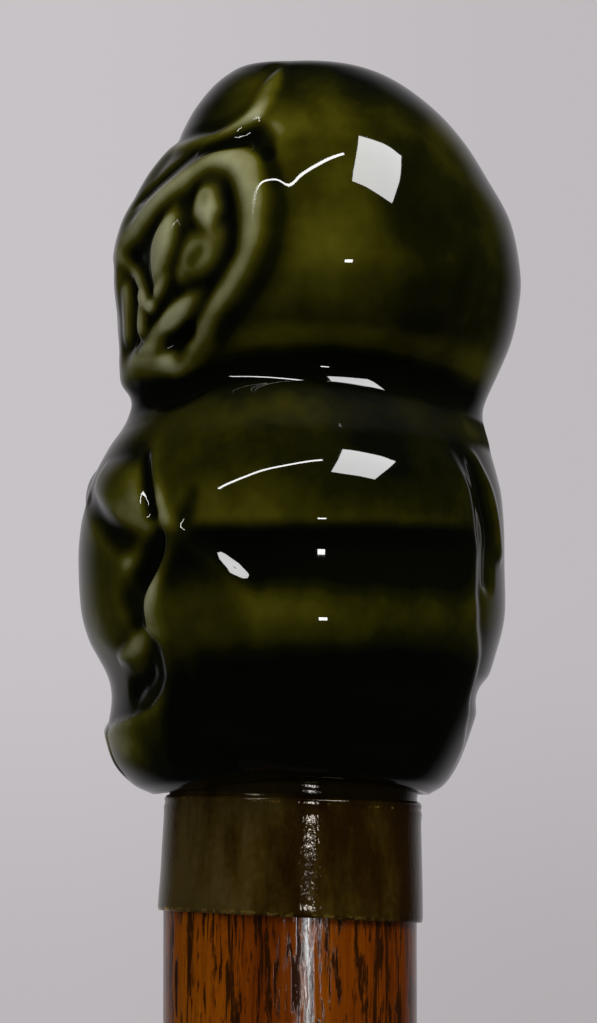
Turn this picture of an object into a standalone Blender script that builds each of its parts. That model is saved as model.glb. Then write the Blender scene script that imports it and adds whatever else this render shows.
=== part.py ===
# Walking cane: carved ceramic figure handle, brass collar, hardwood shaft, brass cup and rubber foot.
# The cane stands upright. Z runs up the shaft from the floor and the figure looks along -Y.

import math

import bmesh
import bpy
import numpy as np
from mathutils import Matrix, Vector

# Driving sizes, in metres

SEAT_GAP = 0.0003
CUT_PAST = 0.0020
BORE_CHAMFER = 0.0002
ROUND_STEPS = 40

SHAFT_LENGTH = 0.8285
SHAFT_RADIUS = 0.0120
SHAFT_TIP_RADIUS = 0.0092
SHAFT_END_CHAMFER = 0.0008
SHAFT_SHOULDER_BEVEL = 0.0003

FOOT_HEIGHT = 0.044
FOOT_BASE_RADIUS = 0.0170
FOOT_BASE_HEIGHT = 0.0075
FOOT_BASE_CHAMFER = 0.0010
FOOT_FLARE_BEND = 2.2
FOOT_MOUTH_WALL = 0.0027
FOOT_MOUTH_CHAMFER = 0.0006
FOOT_FLOOR = 0.0090
FOOT_RIB_RISE = 0.0008
FOOT_RIB_COUNT = 3
FOOT_RIB_PITCH = 0.0048
FOOT_RIB_START = 0.0040
FOOT_RIB_HEIGHT = 0.0030
FOOT_RIB_SLOPE = 0.0008
TREAD_DEPTH = 0.0014
TREAD_PAD_RADIUS = 0.0062
TREAD_GROOVE_WIDTH = 0.0016
TREAD_GROOVE_BEVEL = 0.0003
TREAD_LAND_WIDTH = 0.0018

WASHER_THICKNESS = 0.0016

CUP_PAST_FOOT = 0.0132
CUP_WALL = 0.0008
CUP_FLOOR = 0.0014
CUP_EDGE_ROUND = 0.0012
CUP_BEAD_RISE = 0.0005
CUP_BEAD_HEIGHT = 0.0020

NAIL_SHANK_RADIUS = 0.0007
NAIL_HEAD_RADIUS = 0.0018
NAIL_HEAD_RISE = 0.0008
NAIL_LENGTH = 0.0065
NAIL_POINT = 0.0016
NAIL_PAST_FOOT = 0.0062

STUD_RADIUS = 0.0040
STUD_IN_SHAFT = 0.032
STUD_IN_HANDLE = 0.030
STUD_CHAMFER = 0.0008
NUT_ACROSS_FLATS = 0.0130
NUT_THICKNESS = 0.0065
STUD_PAST_NUT = 0.0025

COLLAR_LENGTH = 0.0128
COLLAR_GRIP = 0.0064
COLLAR_LIP_CLEARANCE = 0.00015
COLLAR_WALL = 0.0004
COLLAR_LIP_HEIGHT = 0.0016
COLLAR_TOP_RADIUS = 0.0118
COLLAR_BEAD_HEIGHT = 0.0016
COLLAR_BEAD_STEP = 0.0004
COLLAR_LEAN_DEG = 1.6
COLLAR_SKEW_DEG = 1.2
COLLAR_SEAT_DROP = 0.0005
COLLAR_SHOULDER_ROUND = 0.0006
COLLAR_EDGE_BREAK = 0.0001
COLLAR_INNER_STEP = 0.0002
COLLAR_INNER_DROP = 0.0008

HANDLE_HEIGHT = 0.0695
HANDLE_DEPTH = 0.0403
HANDLE_WIDTH = 0.0392
HANDLE_RECESS = 0.0021
HANDLE_WALL = 0.0046
NECK_WALL = 0.0027
SIDE_ARCH_AT_NECK = 0.0030
SIDE_ARCH_AT_FOOT = 0.0013
CARVING_RISE = 0.0011
HANDLE_ROW_STEP = 0.00036
HANDLE_TURN_STEPS = 300
HANDLE_FACE_SHARE = 0.052

# Places that follow from the sizes

collar_lean = math.radians(COLLAR_LEAN_DEG)
collar_skew = math.radians(COLLAR_SKEW_DEG)
cup_inner_radius = SHAFT_TIP_RADIUS
cup_radius = cup_inner_radius + CUP_WALL
cup_seat_radius = cup_inner_radius - SEAT_GAP
washer_z = FOOT_FLOOR + SEAT_GAP
cup_z = washer_z + WASHER_THICKNESS + SEAT_GAP
shaft_z = cup_z + CUP_FLOOR + SEAT_GAP
shaft_top = shaft_z + SHAFT_LENGTH
collar_z = shaft_top - COLLAR_GRIP
cup_top = FOOT_HEIGHT + CUP_PAST_FOOT
nail_z = FOOT_HEIGHT + NAIL_PAST_FOOT
collar_lip_radius = SHAFT_RADIUS + COLLAR_LIP_CLEARANCE
collar_top_shift = COLLAR_LENGTH * math.sin(collar_lean)
collar_top_rise = COLLAR_TOP_RADIUS * math.sin(collar_lean)
collar_seat_radius = SHAFT_RADIUS - COLLAR_SEAT_DROP - collar_top_shift
handle_seat_z = collar_z + COLLAR_LENGTH + collar_top_rise + SEAT_GAP
handle_z = handle_seat_z - HANDLE_RECESS
handle_recess_radius = COLLAR_TOP_RADIUS + collar_top_shift + SEAT_GAP
neck_z = shaft_top + SEAT_GAP
neck_radius = COLLAR_TOP_RADIUS - COLLAR_WALL - collar_top_shift - SEAT_GAP
neck_bore_radius = neck_radius - NECK_WALL
stud_bottom = shaft_top - STUD_IN_SHAFT
stud_top = shaft_top + STUD_IN_HANDLE
nut_z = stud_top - STUD_PAST_NUT - NUT_THICKNESS
foot_socket_radius = cup_radius + SEAT_GAP


# Modelling helpers


def material(name, colour, roughness, metallic=0.0):
    """A plain Principled finish with the colour as it is seen on the cane."""
    finish = bpy.data.materials.new(name)
    finish.use_nodes = True
    shader = finish.node_tree.nodes["Principled BSDF"]
    shader.inputs["Base Color"].default_value = (*colour, 1.0)
    shader.inputs["Roughness"].default_value = roughness
    shader.inputs["Metallic"].default_value = metallic
    return finish


def add_object(name, form, finish=None, sharp_deg=35.0):
    """Puts a finished bmesh in the scene as an object with smooth faces and sharp corners."""
    mesh = bpy.data.meshes.new(name)
    bmesh.ops.recalc_face_normals(form, faces=form.faces[:])
    form.to_mesh(mesh)
    form.free()
    mesh.shade_smooth()
    mesh.set_sharp_from_angle(angle=math.radians(sharp_deg))
    piece = bpy.data.objects.new(name, mesh)
    bpy.context.scene.collection.objects.link(piece)
    if finish is not None:
        mesh.materials.append(finish)
    return piece


def turned(profile, steps=ROUND_STEPS):
    """A closed body turned about Z from (radius, height) points listed from the top pole or edge down."""
    form = bmesh.new()
    spots = [form.verts.new((radius, 0.0, height)) for radius, height in profile]
    edges = [form.edges.new(pair) for pair in zip(spots, spots[1:])]
    if profile[0][0] > 0.0:
        edges.append(form.edges.new((spots[-1], spots[0])))
    bmesh.ops.spin(
        form,
        geom=spots + edges,
        axis=(0.0, 0.0, 1.0),
        angle=2.0 * math.pi,
        steps=steps,
        use_merge=True,
    )
    bmesh.ops.remove_doubles(form, verts=form.verts[:], dist=1e-7)
    return form


def arc(centre, radius, start_deg, end_deg, steps):
    """Points of a round stretch of a profile."""
    turns = [math.radians(start_deg + (end_deg - start_deg) * k / steps) for k in range(steps + 1)]
    return [(centre[0] + radius * math.cos(t), centre[1] + radius * math.sin(t)) for t in turns]


def cutter(name, form):
    """A helper body that other pieces are cut with."""
    piece = add_object(name, form)
    piece.hide_render = True
    piece.display_type = "WIRE"
    return piece


def cut(piece, tool):
    step = piece.modifiers.new("Cut by " + tool.name, "BOOLEAN")
    step.operation = "DIFFERENCE"
    step.solver = "EXACT"
    step.object = tool


def clear_scene():
    for item in list(bpy.data.objects):
        bpy.data.objects.remove(item)


# Handle: the plain form
# Rows run from the crown down: level as per cent of the height, reach to the front and to the back
# as per cent of the depth, and reach to each side as per cent of the width.

HANDLE_ROWS = (
    (100.0, -6.0, 6.0, 0.0),
    (99.3, 10.6, 20.0, 13.8),
    (97.3, 17.6, 28.2, 21.7),
    (93.5, 23.0, 35.6, 30.3),
    (89.2, 27.9, 41.6, 36.9),
    (84.2, 33.7, 46.9, 42.3),
    (78.4, 38.7, 52.4, 46.1),
    (71.2, 40.2, 54.7, 48.0),
    (66.0, 40.1, 54.0, 46.0),
    (62.0, 39.6, 52.4, 43.2),
    (58.6, 39.0, 50.0, 40.2),
    (56.3, 39.0, 48.2, 37.4),
    (54.6, 38.6, 46.9, 34.7),
    (53.0, 38.2, 46.0, 33.0),
    (51.5, 38.5, 45.7, 33.6),
    (50.0, 39.8, 46.1, 35.9),
    (48.4, 41.8, 46.8, 39.6),
    (47.0, 43.3, 47.5, 42.6),
    (44.0, 46.0, 48.8, 47.1),
    (41.0, 47.9, 49.9, 49.4),
    (36.5, 49.4, 50.5, 50.4),
    (31.7, 49.9, 50.6, 50.2),
    (24.5, 49.0, 50.6, 49.8),
    (18.7, 45.7, 48.1, 48.4),
    (14.4, 43.5, 45.6, 46.6),
    (8.6, 42.9, 42.4, 43.9),
    (4.3, 41.3, 39.6, 40.6),
    (1.4, 37.0, 36.4, 36.6),
    (0.0, 32.3, 32.8, 33.2),
)
NECK_LEVEL = 54.5
NECK_ARCH_REACH = 8.0
FOOT_ARCH_REACH = 17.0


def smooth_rows(rows, spans, crown=False):
    """Rows of a table with a smooth curve through them, at the given number of steps between rows."""
    rows = np.array(rows, float)
    before = 2.0 * rows[0] - rows[1]
    if crown:
        before[0] = rows[1][0]
    guide = np.vstack([before, rows, 2.0 * rows[-1] - rows[-2]])
    found = []
    for a, b, c, d in zip(guide, guide[1:], guide[2:], guide[3:]):
        for t in np.arange(spans) / spans:
            bend = (2.0 * a - 5.0 * b + 4.0 * c - d) * t**2 + (3.0 * b - a - 3.0 * c + d) * t**3
            found.append(b + 0.5 * ((c - a) * t + bend))
    found.append(rows[-1])
    return np.array(found)


HANDLE_CURVE = smooth_rows(HANDLE_ROWS, 12, crown=True)


def reaches(level):
    """Front, back and side reach of the plain handle at a level, in metres."""
    rising = HANDLE_CURVE[::-1]
    sizes = (HANDLE_DEPTH, HANDLE_DEPTH, HANDLE_WIDTH)
    return [np.interp(level, rising[:, 0], rising[:, k + 1]) / 100.0 * sizes[k] for k in range(3)]


def on_handle(turn, level, inset=0.0):
    """Places on the plain handle, by the turn from the middle of the face and the level."""
    front, back, side = reaches(level)
    wide = side - inset
    deep = (front + back) / 2.0 - inset
    neck = SIDE_ARCH_AT_NECK * np.exp(-(((level - NECK_LEVEL) / NECK_ARCH_REACH) ** 2))
    foot = SIDE_ARCH_AT_FOOT * np.clip(1.0 - level / FOOT_ARCH_REACH, 0.0, 1.0) ** 2
    height = HANDLE_HEIGHT * level / 100.0 + (neck + foot) * np.sin(turn) ** 2
    return np.stack([wide * np.sin(turn), (back - front) / 2.0 - deep * np.cos(turn), height], -1)


# Handle: the carving
# Outlines and edges are rows of turn in degrees and level. A stroke is a route of (turn, level, half
# width in thousandths of the handle's depth) and its rise in shares of CARVING_RISE. Both halves of
# the figure take the same strokes.

FACE_RING = (
    (0, 72.2, 40), (6, 72.9, 40), (12, 74.2, 40), (18.5, 76.2, 40), (25, 78.6, 40), (31, 81.2, 42),
    (37, 83.6, 45), (43.5, 85.2, 50), (50.5, 85.3, 56), (56.5, 83.6, 64), (61, 80.2, 72),
    (62.6, 76.2, 74), (61, 71.6, 70), (57.4, 67.8, 64), (53, 64.8, 58), (49.3, 61.8, 52),
    (47.2, 58.6, 48), (44.6, 55.8, 44), (39.4, 55.0, 42), (33, 56.6, 43), (26, 57.9, 46),
    (17, 58.4, 48), (8, 58.2, 48), (0, 58.0, 48),
)
BROW_SHIELD = (
    (0, 88.4), (16, 88.2), (27, 88.3), (36.5, 88.5), (44.5, 89.6), (50.5, 91.4), (55, 94.0), (57, 97.2),
    (62, 99.2), (0, 99.9),
)
LEG_HOLLOW = (
    (38.2, 19.9), (39.4, 16.3), (37.8, 14.3), (34, 12.6), (29, 11.8), (23.5, 11.8), (19.0, 13.2),
    (19.5, 15.2), (25, 16.8), (32, 18.4),
)
ARM_FRONT_EDGE = (
    (8.6, 0.0), (9.8, 12.0), (10.4, 24.0), (11.6, 34.0), (13.5, 38.5), (15.8, 41.0), (18.4, 41.5),
    (21.2, 40.5), (23.0, 38.5), (25.5, 38.2), (28.0, 40.2), (29.9, 43.5), (32.4, 47.0), (33.9, 47.2),
    (35.4, 45.5), (38.0, 43.0), (41.5, 40.0), (43.7, 37.0), (46.5, 33.0),
)
ARM_BACK_EDGE = (
    (6.4, 160.0), (9.4, 152.5), (14.6, 147.0), (18.8, 145.0), (22.7, 139.5), (26.7, 137.8),
    (32.9, 139.0), (35.0, 138.0), (38.0, 137.2), (40.9, 136.0), (43.2, 134.2), (46.5, 131.0),
)
FACE_PROFILE = (
    (53.5, 0.0), (56.5, 0.45), (59.4, 0.65), (62.1, 0.55), (64.8, 0.42), (67.6, 0.6), (70.3, 0.8),
    (73.0, 0.86), (75.8, 0.72), (78.5, 0.52), (81.2, 0.3), (84.0, 0.46), (86.7, 0.5), (89.5, 0.3),
)

BANDS = {
    "forehead rim": (
        (
            (0, 87.8, 30), (14, 87.6, 30), (27, 87.8, 32), (36.2, 87.9, 34), (43.5, 88.8, 38),
            (49.5, 90.2, 42), (53.8, 92.2, 44), (56.2, 94.6, 42), (57.5, 97.0, 36), (62, 99.0, 26),
        ),
        0.45,
    ),
    "nose line": (
        (
            (3.5, 72.4, 18), (8, 71.0, 26), (13, 69.6, 28), (18.5, 67.4, 29), (23.5, 65.2, 24),
        ),
        0.55,
    ),
    "nose line back": (((31.3, 69.4, 16), (28, 67.4, 24), (23.5, 65.2, 24)), 0.45),
    "middle tooth": (((3.4, 68.0, 28), (2.4, 63.4, 30)), 0.35),
    "side tooth": (((15.6, 66.4, 32), (14.4, 61.6, 34)), 0.55),
    "knee ridge": (((38.8, 21.6, 26), (32, 19.9, 36), (24, 18.3, 30), (17, 17.2, 22)), 0.5),
    "back ridge": (((143, 45.0, 30), (150, 39.5, 40), (156, 33.0, 36)), 0.35),
}
LEAVES = {
    "nose wing": (((31.8, 78.8, 20), (30.0, 76.4, 54), (27.4, 73.4, 74), (26.4, 68.6, 30)), 0.92),
    "brow bead": (((44.8, 80.2, 56), (45.6, 78.4, 58)), 0.8),
    "eye": (((48.4, 74.0, 58), (43.6, 71.8, 80), (38.4, 69.8, 54)), 0.62),
    "cheek leaf": (((45, 66.2, 18), (39.4, 64.6, 42), (33.6, 62.9, 52), (23.2, 60.8, 18)), 0.85),
    "brow knob": (((61, 90.2, 80), (63, 89.2, 80)), 0.25),
    "forehead medallion": (((0, 95.2, 130), (20, 94.4, 130), (34, 93.6, 110)), 0.35),
    "chest lobe": (((17, 42.4, 50), (23, 41.2, 80), (31, 40.0, 92), (39.5, 38.6, 60)), 0.62),
    "arm rim": (
        (
            (44, 38.0, 30), (48.5, 34.0, 36), (44.5, 29.5, 36), (41.5, 26.0, 36), (42.5, 21.5, 34),
        ),
        0.22,
    ),
}
HOLLOWS = {
    "cheek wedge": (((40.5, 60.6, 34), (33.5, 59.9, 30)), -0.35),
    "forehead crease": (
        (
            (33.8, 86.3, 14), (41, 86.9, 28), (47.8, 87.6, 42), (53.5, 88.0, 50), (58.8, 87.0, 42),
            (63, 85.0, 26),
        ),
        -0.55,
    ),
    "outer crease": (
        (
            (63, 85.0, 26), (67.8, 81.4, 48), (70.2, 77.4, 62), (69.6, 73.2, 66), (67.0, 69.4, 66),
            (63.0, 65.8, 62), (58.6, 62.6, 56), (55.6, 59.8, 44), (53.6, 57.2, 30),
        ),
        -0.22,
    ),
    "bridge crease": (((30, 84.0, 16), (22, 81.4, 26), (14, 79.0, 26), (8, 77.4, 20)), -0.35),
    "chin crease": (((0, 54.4, 46), (20, 53.4, 48), (38, 51.6, 46), (52, 52.8, 34)), -0.3),
    "chest crease": (
        (
            (4, 40.2, 30), (14, 38.2, 44), (23, 35.8, 48), (31, 33.8, 50), (40, 32.6, 48),
        ),
        -0.42,
    ),
    "arm crease": (((33.5, 45.0, 14), (37.4, 41.6, 26), (41.6, 37.6, 34)), -0.6),
    "arm dent": (((54.0, 39.4, 24), (52.6, 36.6, 34)), -0.42),
    "elbow pocket": (((43.4, 33.6, 40), (41.2, 31.2, 60), (38.0, 29.4, 56)), -0.85),
    "waist crease": (((37.5, 29.0, 56), (34.2, 26.6, 66), (33.6, 23.6, 44)), -0.65),
    "heel notch": (((0, 14.8, 110), (12, 14.8, 110), (22, 14.2, 70)), -0.88),
    "back gutter": (((141.5, 44.0, 34), (144.5, 39.6, 46), (147.5, 35.0, 46), (146, 29.0, 40)), -0.5),
    "rear notch": (((150, 13.8, 44), (165, 13.8, 50), (180, 13.9, 52)), -0.5),
    "foot parting": (((0, 9.0, 24), (0, 3.0, 30)), -0.35),
}


def fade(value):
    """Rises smoothly from 0 to 1."""
    value = np.clip(value, 0.0, 1.0)
    return value * value * (3.0 - 2.0 * value)


def nearest(spots, line, widths):
    """How far each spot lies from a line of points, in half widths of the line, and that half width."""
    share = np.full(len(spots), np.inf)
    width = np.ones(len(spots))
    for start, end, first, last in zip(line, line[1:], widths, widths[1:]):
        run = end - start
        along = np.clip((spots - start) @ run / (run @ run), 0.0, 1.0)
        away = np.linalg.norm(spots - start - along[:, None] * run, axis=1)
        here = first + (last - first) * along
        closer = away / here < share
        share = np.where(closer, away / here, share)
        width = np.where(closer, here, width)
    return share, width


def stroke_line(route):
    """The smooth line of a stroke on the plain handle, and its half widths in metres."""
    path = smooth_rows(route, 6)
    return on_handle(np.radians(path[:, 0]), path[:, 1]), path[:, 2] / 1000.0 * HANDLE_DEPTH


def ridge(spots, route, rise):
    """A raised band with a broad back, or a groove where the rise is negative."""
    line, widths = stroke_line(route)
    share, width = nearest(spots, line, widths)
    return rise * width / widths.max() * (1.0 - np.clip(share, 0.0, 1.0) ** 2.3) ** 1.9


def leaf(spots, route, rise):
    """A raised form with a round back, as modelled with a thumb."""
    line, widths = stroke_line(route)
    share, width = nearest(spots, line, widths)
    return rise * width / widths.max() * (1.0 - np.clip(share, 0.0, 1.0) ** 2) ** 1.25


def inside(turns, levels, outline):
    """Whether each place lies in an outline drawn in turns and levels."""
    found = np.zeros(len(turns), bool)
    for (turn_a, level_a), (turn_b, level_b) in zip(outline, np.roll(outline, -1, axis=0)):
        if level_a == level_b:
            continue
        crossing = (levels > min(level_a, level_b)) & (levels <= max(level_a, level_b))
        turn_there = turn_a + (levels - level_a) / (level_b - level_a) * (turn_b - turn_a)
        found ^= crossing & (turns < turn_there)
    return found


def sunk(spots, turns, levels, rim, reach, depth):
    """A flat pocket, or with a positive depth a flat shield, that fades out at its rim."""
    path = smooth_rows(rim, 6)
    line = on_handle(np.radians(path[:, 0]), path[:, 1])
    share = nearest(spots, line, np.full(len(line), reach))[0]
    return np.where(inside(turns, levels, path[:, :2]), depth * fade(share), 0.0)


def arm_side(turns, levels):
    """The arm and thigh: a slab on each side, hollowed under the upper arm and below the thigh."""
    front = np.interp(levels, *np.array(ARM_FRONT_EDGE).T)
    back = np.interp(levels, *np.array(ARM_BACK_EDGE).T)
    rise = 0.55 * fade((levels - 2.0) / 12.0) * fade((48.5 - levels) / 9.0)
    rise *= fade((turns - front + 2.0) / 4.0) * fade((back + 2.4 - turns) / 4.8)
    groove = fade((36.0 - levels) / 3.4) * fade((levels - 22.5) / 8.0)
    start = np.interp(levels, (26.0, 29.0, 34.0, 37.0), (62.0, 59.0, 49.0, 45.0))
    groove *= fade((turns - start) / 8.0) * fade((140.0 - turns) / 16.0)
    groove *= 0.90 + 0.45 * np.exp(-(((turns - 67.0) / 9.0) ** 2))
    thigh = fade((21.0 - levels) / 7.0) * fade((levels - 1.0) / 6.0)
    thigh *= fade((turns - 50.5) / 6.5) * fade((138.0 - turns) / 14.0)
    return rise - groove - 0.80 * thigh


def carving(turns, levels):
    """How far the carved surface stands out of the plain handle, for turns in degrees and levels."""
    spots = on_handle(np.radians(turns), levels)
    face = tuple(row[:2] for row in FACE_RING)
    rise = sunk(spots, turns, levels, face, 0.0026, -0.72)
    rise += ridge(spots, FACE_RING, 0.60)
    rise += sunk(spots, turns, levels, BROW_SHIELD, 0.0018, 0.25)
    rise += sunk(spots, turns, levels, LEG_HOLLOW + LEG_HOLLOW[:1], 0.0034, -1.1)
    rise += arm_side(turns, levels)
    for route, height in LEAVES.values():
        rise += leaf(spots, route, height)
    for route, height in (*BANDS.values(), *HOLLOWS.values()):
        rise += ridge(spots, route, height)
    middle = 0.85 * fade((13.0 - turns) / 11.0)
    middle *= fade((levels - 53.5) / 3.0) * fade((90.0 - levels) / 3.0)
    rise += middle * (np.interp(levels, *np.array(FACE_PROFILE).T) - rise)
    return rise * CARVING_RISE


def carved_handle():
    """The outside of the handle: a turned blank, pulled to the figure's form and then carved."""
    curve = on_handle(np.full(len(HANDLE_CURVE), math.pi / 2.0), HANDLE_CURVE[:, 0])
    runs = np.linalg.norm(np.diff(curve, axis=0), axis=1)
    length = np.concatenate([[0.0], np.cumsum(runs)])
    rows = int(length[-1] / HANDLE_ROW_STEP)
    levels = np.interp(np.linspace(0.0, length[-1], rows), length, HANDLE_CURVE[:, 0])
    blank = [(0.0, HANDLE_HEIGHT)]
    blank += [(reaches(level)[2], HANDLE_HEIGHT * level / 100.0) for level in levels[1:]]
    rough_neck = neck_radius + SEAT_GAP
    foot_edge = blank[-1][0] - SEAT_GAP
    rough_end = neck_z - handle_z - SEAT_GAP
    blank += [(rough_neck, 0.0), (rough_neck, rough_end), (0.0, rough_end)]
    form = turned(blank, HANDLE_TURN_STEPS)
    outside = [v for v in form.verts if v.co.z > 0.0 or v.co.xy.length > foot_edge]
    places = np.array([v.co for v in outside])
    turns = np.degrees(np.arctan2(np.abs(places[:, 0]), -places[:, 1]))
    levels = places[:, 2] / HANDLE_HEIGHT * 100.0
    form_places = on_handle(np.radians(turns), levels)
    form_places[:, 0] *= np.sign(places[:, 0])
    for spot, place in zip(outside, form_places):
        spot.co = place
    bmesh.ops.recalc_face_normals(form, faces=form.faces[:])
    form.normal_update()
    for spot, rise in zip(outside, carving(turns, levels)):
        spot.co += spot.normal * rise
    bmesh.ops.translate(form, verts=form.verts[:], vec=(0.0, 0.0, handle_z))
    return form


def seat_form():
    """What is trimmed from below: the recess round the neck for the collar, and the neck's end."""
    below = neck_z - CUT_PAST
    return turned(
        [
            (neck_radius, handle_seat_z),
            (handle_recess_radius, handle_seat_z),
            (handle_recess_radius, below),
            (0.0, below),
            (0.0, neck_z),
            (neck_radius, neck_z),
        ]
    )


def hollow_form(extra, bottom_z):
    """The space in the handle, down its neck, drawn in all round by an extra clearance."""
    levels = (89.0, 80.0, 70.0, 60.0, 52.0, 46.0, 38.0, 28.0, 18.0, 11.0)
    crown = HANDLE_HEIGHT - HANDLE_WALL - extra
    floor = HANDLE_RECESS + NECK_WALL + extra
    rows = [(0.0, crown)] + [(0.01, HANDLE_HEIGHT * level / 100.0) for level in levels]
    rows += [(neck_bore_radius - extra, floor), (neck_bore_radius - extra, bottom_z - handle_z)]
    form = turned(rows + [(0.0, bottom_z - handle_z)], 32)
    for spot in form.verts:
        level = spot.co.z / HANDLE_HEIGHT * 100.0
        turn = math.atan2(spot.co.x, -spot.co.y)
        if spot.co.z > floor + 1e-5 and spot.co.xy.length > 1e-5:
            spot.co = Vector(on_handle(turn, level, HANDLE_WALL + extra))
        elif spot.co.z > floor + 1e-5:
            spot.co.y = float(on_handle(0.0, levels[0])[1] + on_handle(math.pi, levels[0])[1]) / 2.0
    bmesh.ops.translate(form, verts=form.verts[:], vec=(0.0, 0.0, handle_z))
    return form


def rod(radius, bottom, top, chamfer):
    return turned(
        [
            (0.0, top),
            (radius - chamfer, top),
            (radius, top - chamfer),
            (radius, bottom + chamfer),
            (radius - chamfer, bottom),
            (0.0, bottom),
        ],
        24,
    )


def hexagon(across_flats, bottom, top):
    """A hexagonal bar standing on Z."""
    form = bmesh.new()
    radius = across_flats / math.sqrt(3.0)
    bmesh.ops.create_cone(
        form,
        cap_ends=True,
        segments=6,
        radius1=radius,
        radius2=radius,
        depth=top - bottom,
        matrix=Matrix.Translation((0.0, 0.0, (top + bottom) / 2.0)),
    )
    return form


def make_handle():
    glaze = material("green_glaze", (0.030, 0.036, 0.003), 0.08)
    cement = material("bedding_cement", (0.55, 0.53, 0.49), 0.9)
    steel = material("zinced_steel", (0.55, 0.56, 0.58), 0.35, 1.0)

    handle = add_object("figure_handle", carved_handle(), glaze, 60.0)
    thin = handle.modifiers.new("Fewer faces", "DECIMATE")
    thin.ratio = HANDLE_FACE_SHARE
    thin.use_symmetry = True
    thin.symmetry_axis = "X"
    cut(handle, cutter("seat_cutter", seat_form()))
    cut(handle, cutter("hollow_cutter", hollow_form(0.0, neck_z - CUT_PAST)))

    core = add_object("handle_core", hollow_form(SEAT_GAP, neck_z), cement)
    stud_room = rod(STUD_RADIUS + SEAT_GAP, neck_z - CUT_PAST, stud_top + SEAT_GAP, BORE_CHAMFER)
    cut(core, cutter("stud_room", stud_room))
    room = hexagon(NUT_ACROSS_FLATS + SEAT_GAP * 2.0, nut_z - SEAT_GAP, nut_z + NUT_THICKNESS + SEAT_GAP)
    cut(core, cutter("nut_room", room))

    add_object("threaded_stud", rod(STUD_RADIUS, stud_bottom, stud_top, STUD_CHAMFER), steel)
    nut = add_object("anchor_nut", hexagon(NUT_ACROSS_FLATS, nut_z, nut_z + NUT_THICKNESS), steel)
    bore = rod(STUD_RADIUS + SEAT_GAP, nut_z - CUT_PAST, nut_z + NUT_THICKNESS + CUT_PAST, BORE_CHAMFER)
    cut(nut, cutter("nut_bore", bore))


def make_collar():
    """A thin spun sleeve with a beaded top, drawn on crooked over the joint."""
    brass = material("aged_brass", (0.16, 0.12, 0.035), 0.32, 1.0)
    lip = collar_lip_radius + COLLAR_WALL
    top = COLLAR_TOP_RADIUS
    shoulder = COLLAR_LENGTH - COLLAR_BEAD_HEIGHT
    body = top + COLLAR_BEAD_STEP
    inner = top - COLLAR_WALL
    rim = COLLAR_WALL / 2.0
    profile = arc((top - rim, COLLAR_LENGTH - rim), rim, 180.0, 0.0, 4)
    profile += [(top, shoulder + COLLAR_EDGE_BREAK)]
    bend = COLLAR_SHOULDER_ROUND
    profile += arc((body - bend, shoulder - bend), bend, 75.0, 0.0, 4)
    profile += [
        (lip, COLLAR_LIP_HEIGHT * 0.5),
        (lip, COLLAR_EDGE_BREAK),
        (lip - COLLAR_EDGE_BREAK, 0.0),
        (collar_lip_radius, 0.0),
        (collar_lip_radius, COLLAR_LIP_HEIGHT * 0.75),
        (collar_lip_radius - COLLAR_INNER_STEP, shoulder - COLLAR_INNER_DROP),
        (inner, shoulder - COLLAR_EDGE_BREAK),
    ]
    form = turned(profile)
    for spot in form.verts:
        spot.co.z -= spot.co.y * math.tan(collar_skew) * (1.0 - spot.co.z / COLLAR_LENGTH)
    lean = Matrix.Rotation(-collar_lean, 3, "X")
    bmesh.ops.rotate(form, verts=form.verts[:], cent=(0.0, 0.0, 0.0), matrix=lean)
    bmesh.ops.translate(form, verts=form.verts[:], vec=(0.0, 0.0, collar_z))
    add_object("collar", form, brass)


def make_shaft():
    wood = material("lacquered_hardwood", (0.30, 0.09, 0.012), 0.25)
    seat_bottom = collar_z + COLLAR_LIP_HEIGHT
    profile = [
        (0.0, shaft_top),
        (collar_seat_radius - SHAFT_END_CHAMFER / 2.0, shaft_top),
        (collar_seat_radius, shaft_top - SHAFT_END_CHAMFER / 2.0),
        (collar_seat_radius, seat_bottom),
        (SHAFT_RADIUS, seat_bottom - COLLAR_SEAT_DROP),
        (SHAFT_RADIUS, collar_z - COLLAR_LENGTH),
        (cup_radius, cup_top + SEAT_GAP + CUP_BEAD_HEIGHT),
        (cup_radius - SHAFT_SHOULDER_BEVEL, cup_top + SEAT_GAP),
        (cup_seat_radius, cup_top + SEAT_GAP),
        (cup_seat_radius, shaft_z + SHAFT_END_CHAMFER),
        (cup_seat_radius - SHAFT_END_CHAMFER, shaft_z),
        (0.0, shaft_z),
    ]
    shaft = add_object("shaft", turned(profile), wood)
    bore = rod(STUD_RADIUS + SEAT_GAP, stud_bottom - SEAT_GAP, shaft_top + CUT_PAST, BORE_CHAMFER)
    cut(shaft, cutter("stud_bore", bore))
    for piece in nail_holes("shaft"):
        cut(shaft, piece)


def across(form, side):
    """Lays a form that stands on Z along X, with its top outwards on the given side, at the nails."""
    turn = Matrix.Rotation(side * math.pi / 2.0, 3, "Y")
    bmesh.ops.rotate(form, verts=form.verts[:], cent=(0.0, 0.0, 0.0), matrix=turn)
    bmesh.ops.translate(form, verts=form.verts[:], vec=(0.0, 0.0, nail_z))
    return form


def nail_holes(owner):
    found = []
    for name, side in (("left", 1.0), ("right", -1.0)):
        inner = cup_radius - NAIL_LENGTH
        form = across(rod(NAIL_SHANK_RADIUS + SEAT_GAP, inner, cup_radius + CUT_PAST, BORE_CHAMFER), side)
        found.append(cutter(f"{owner}_nail_hole_{name}", form))
    return found


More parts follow.
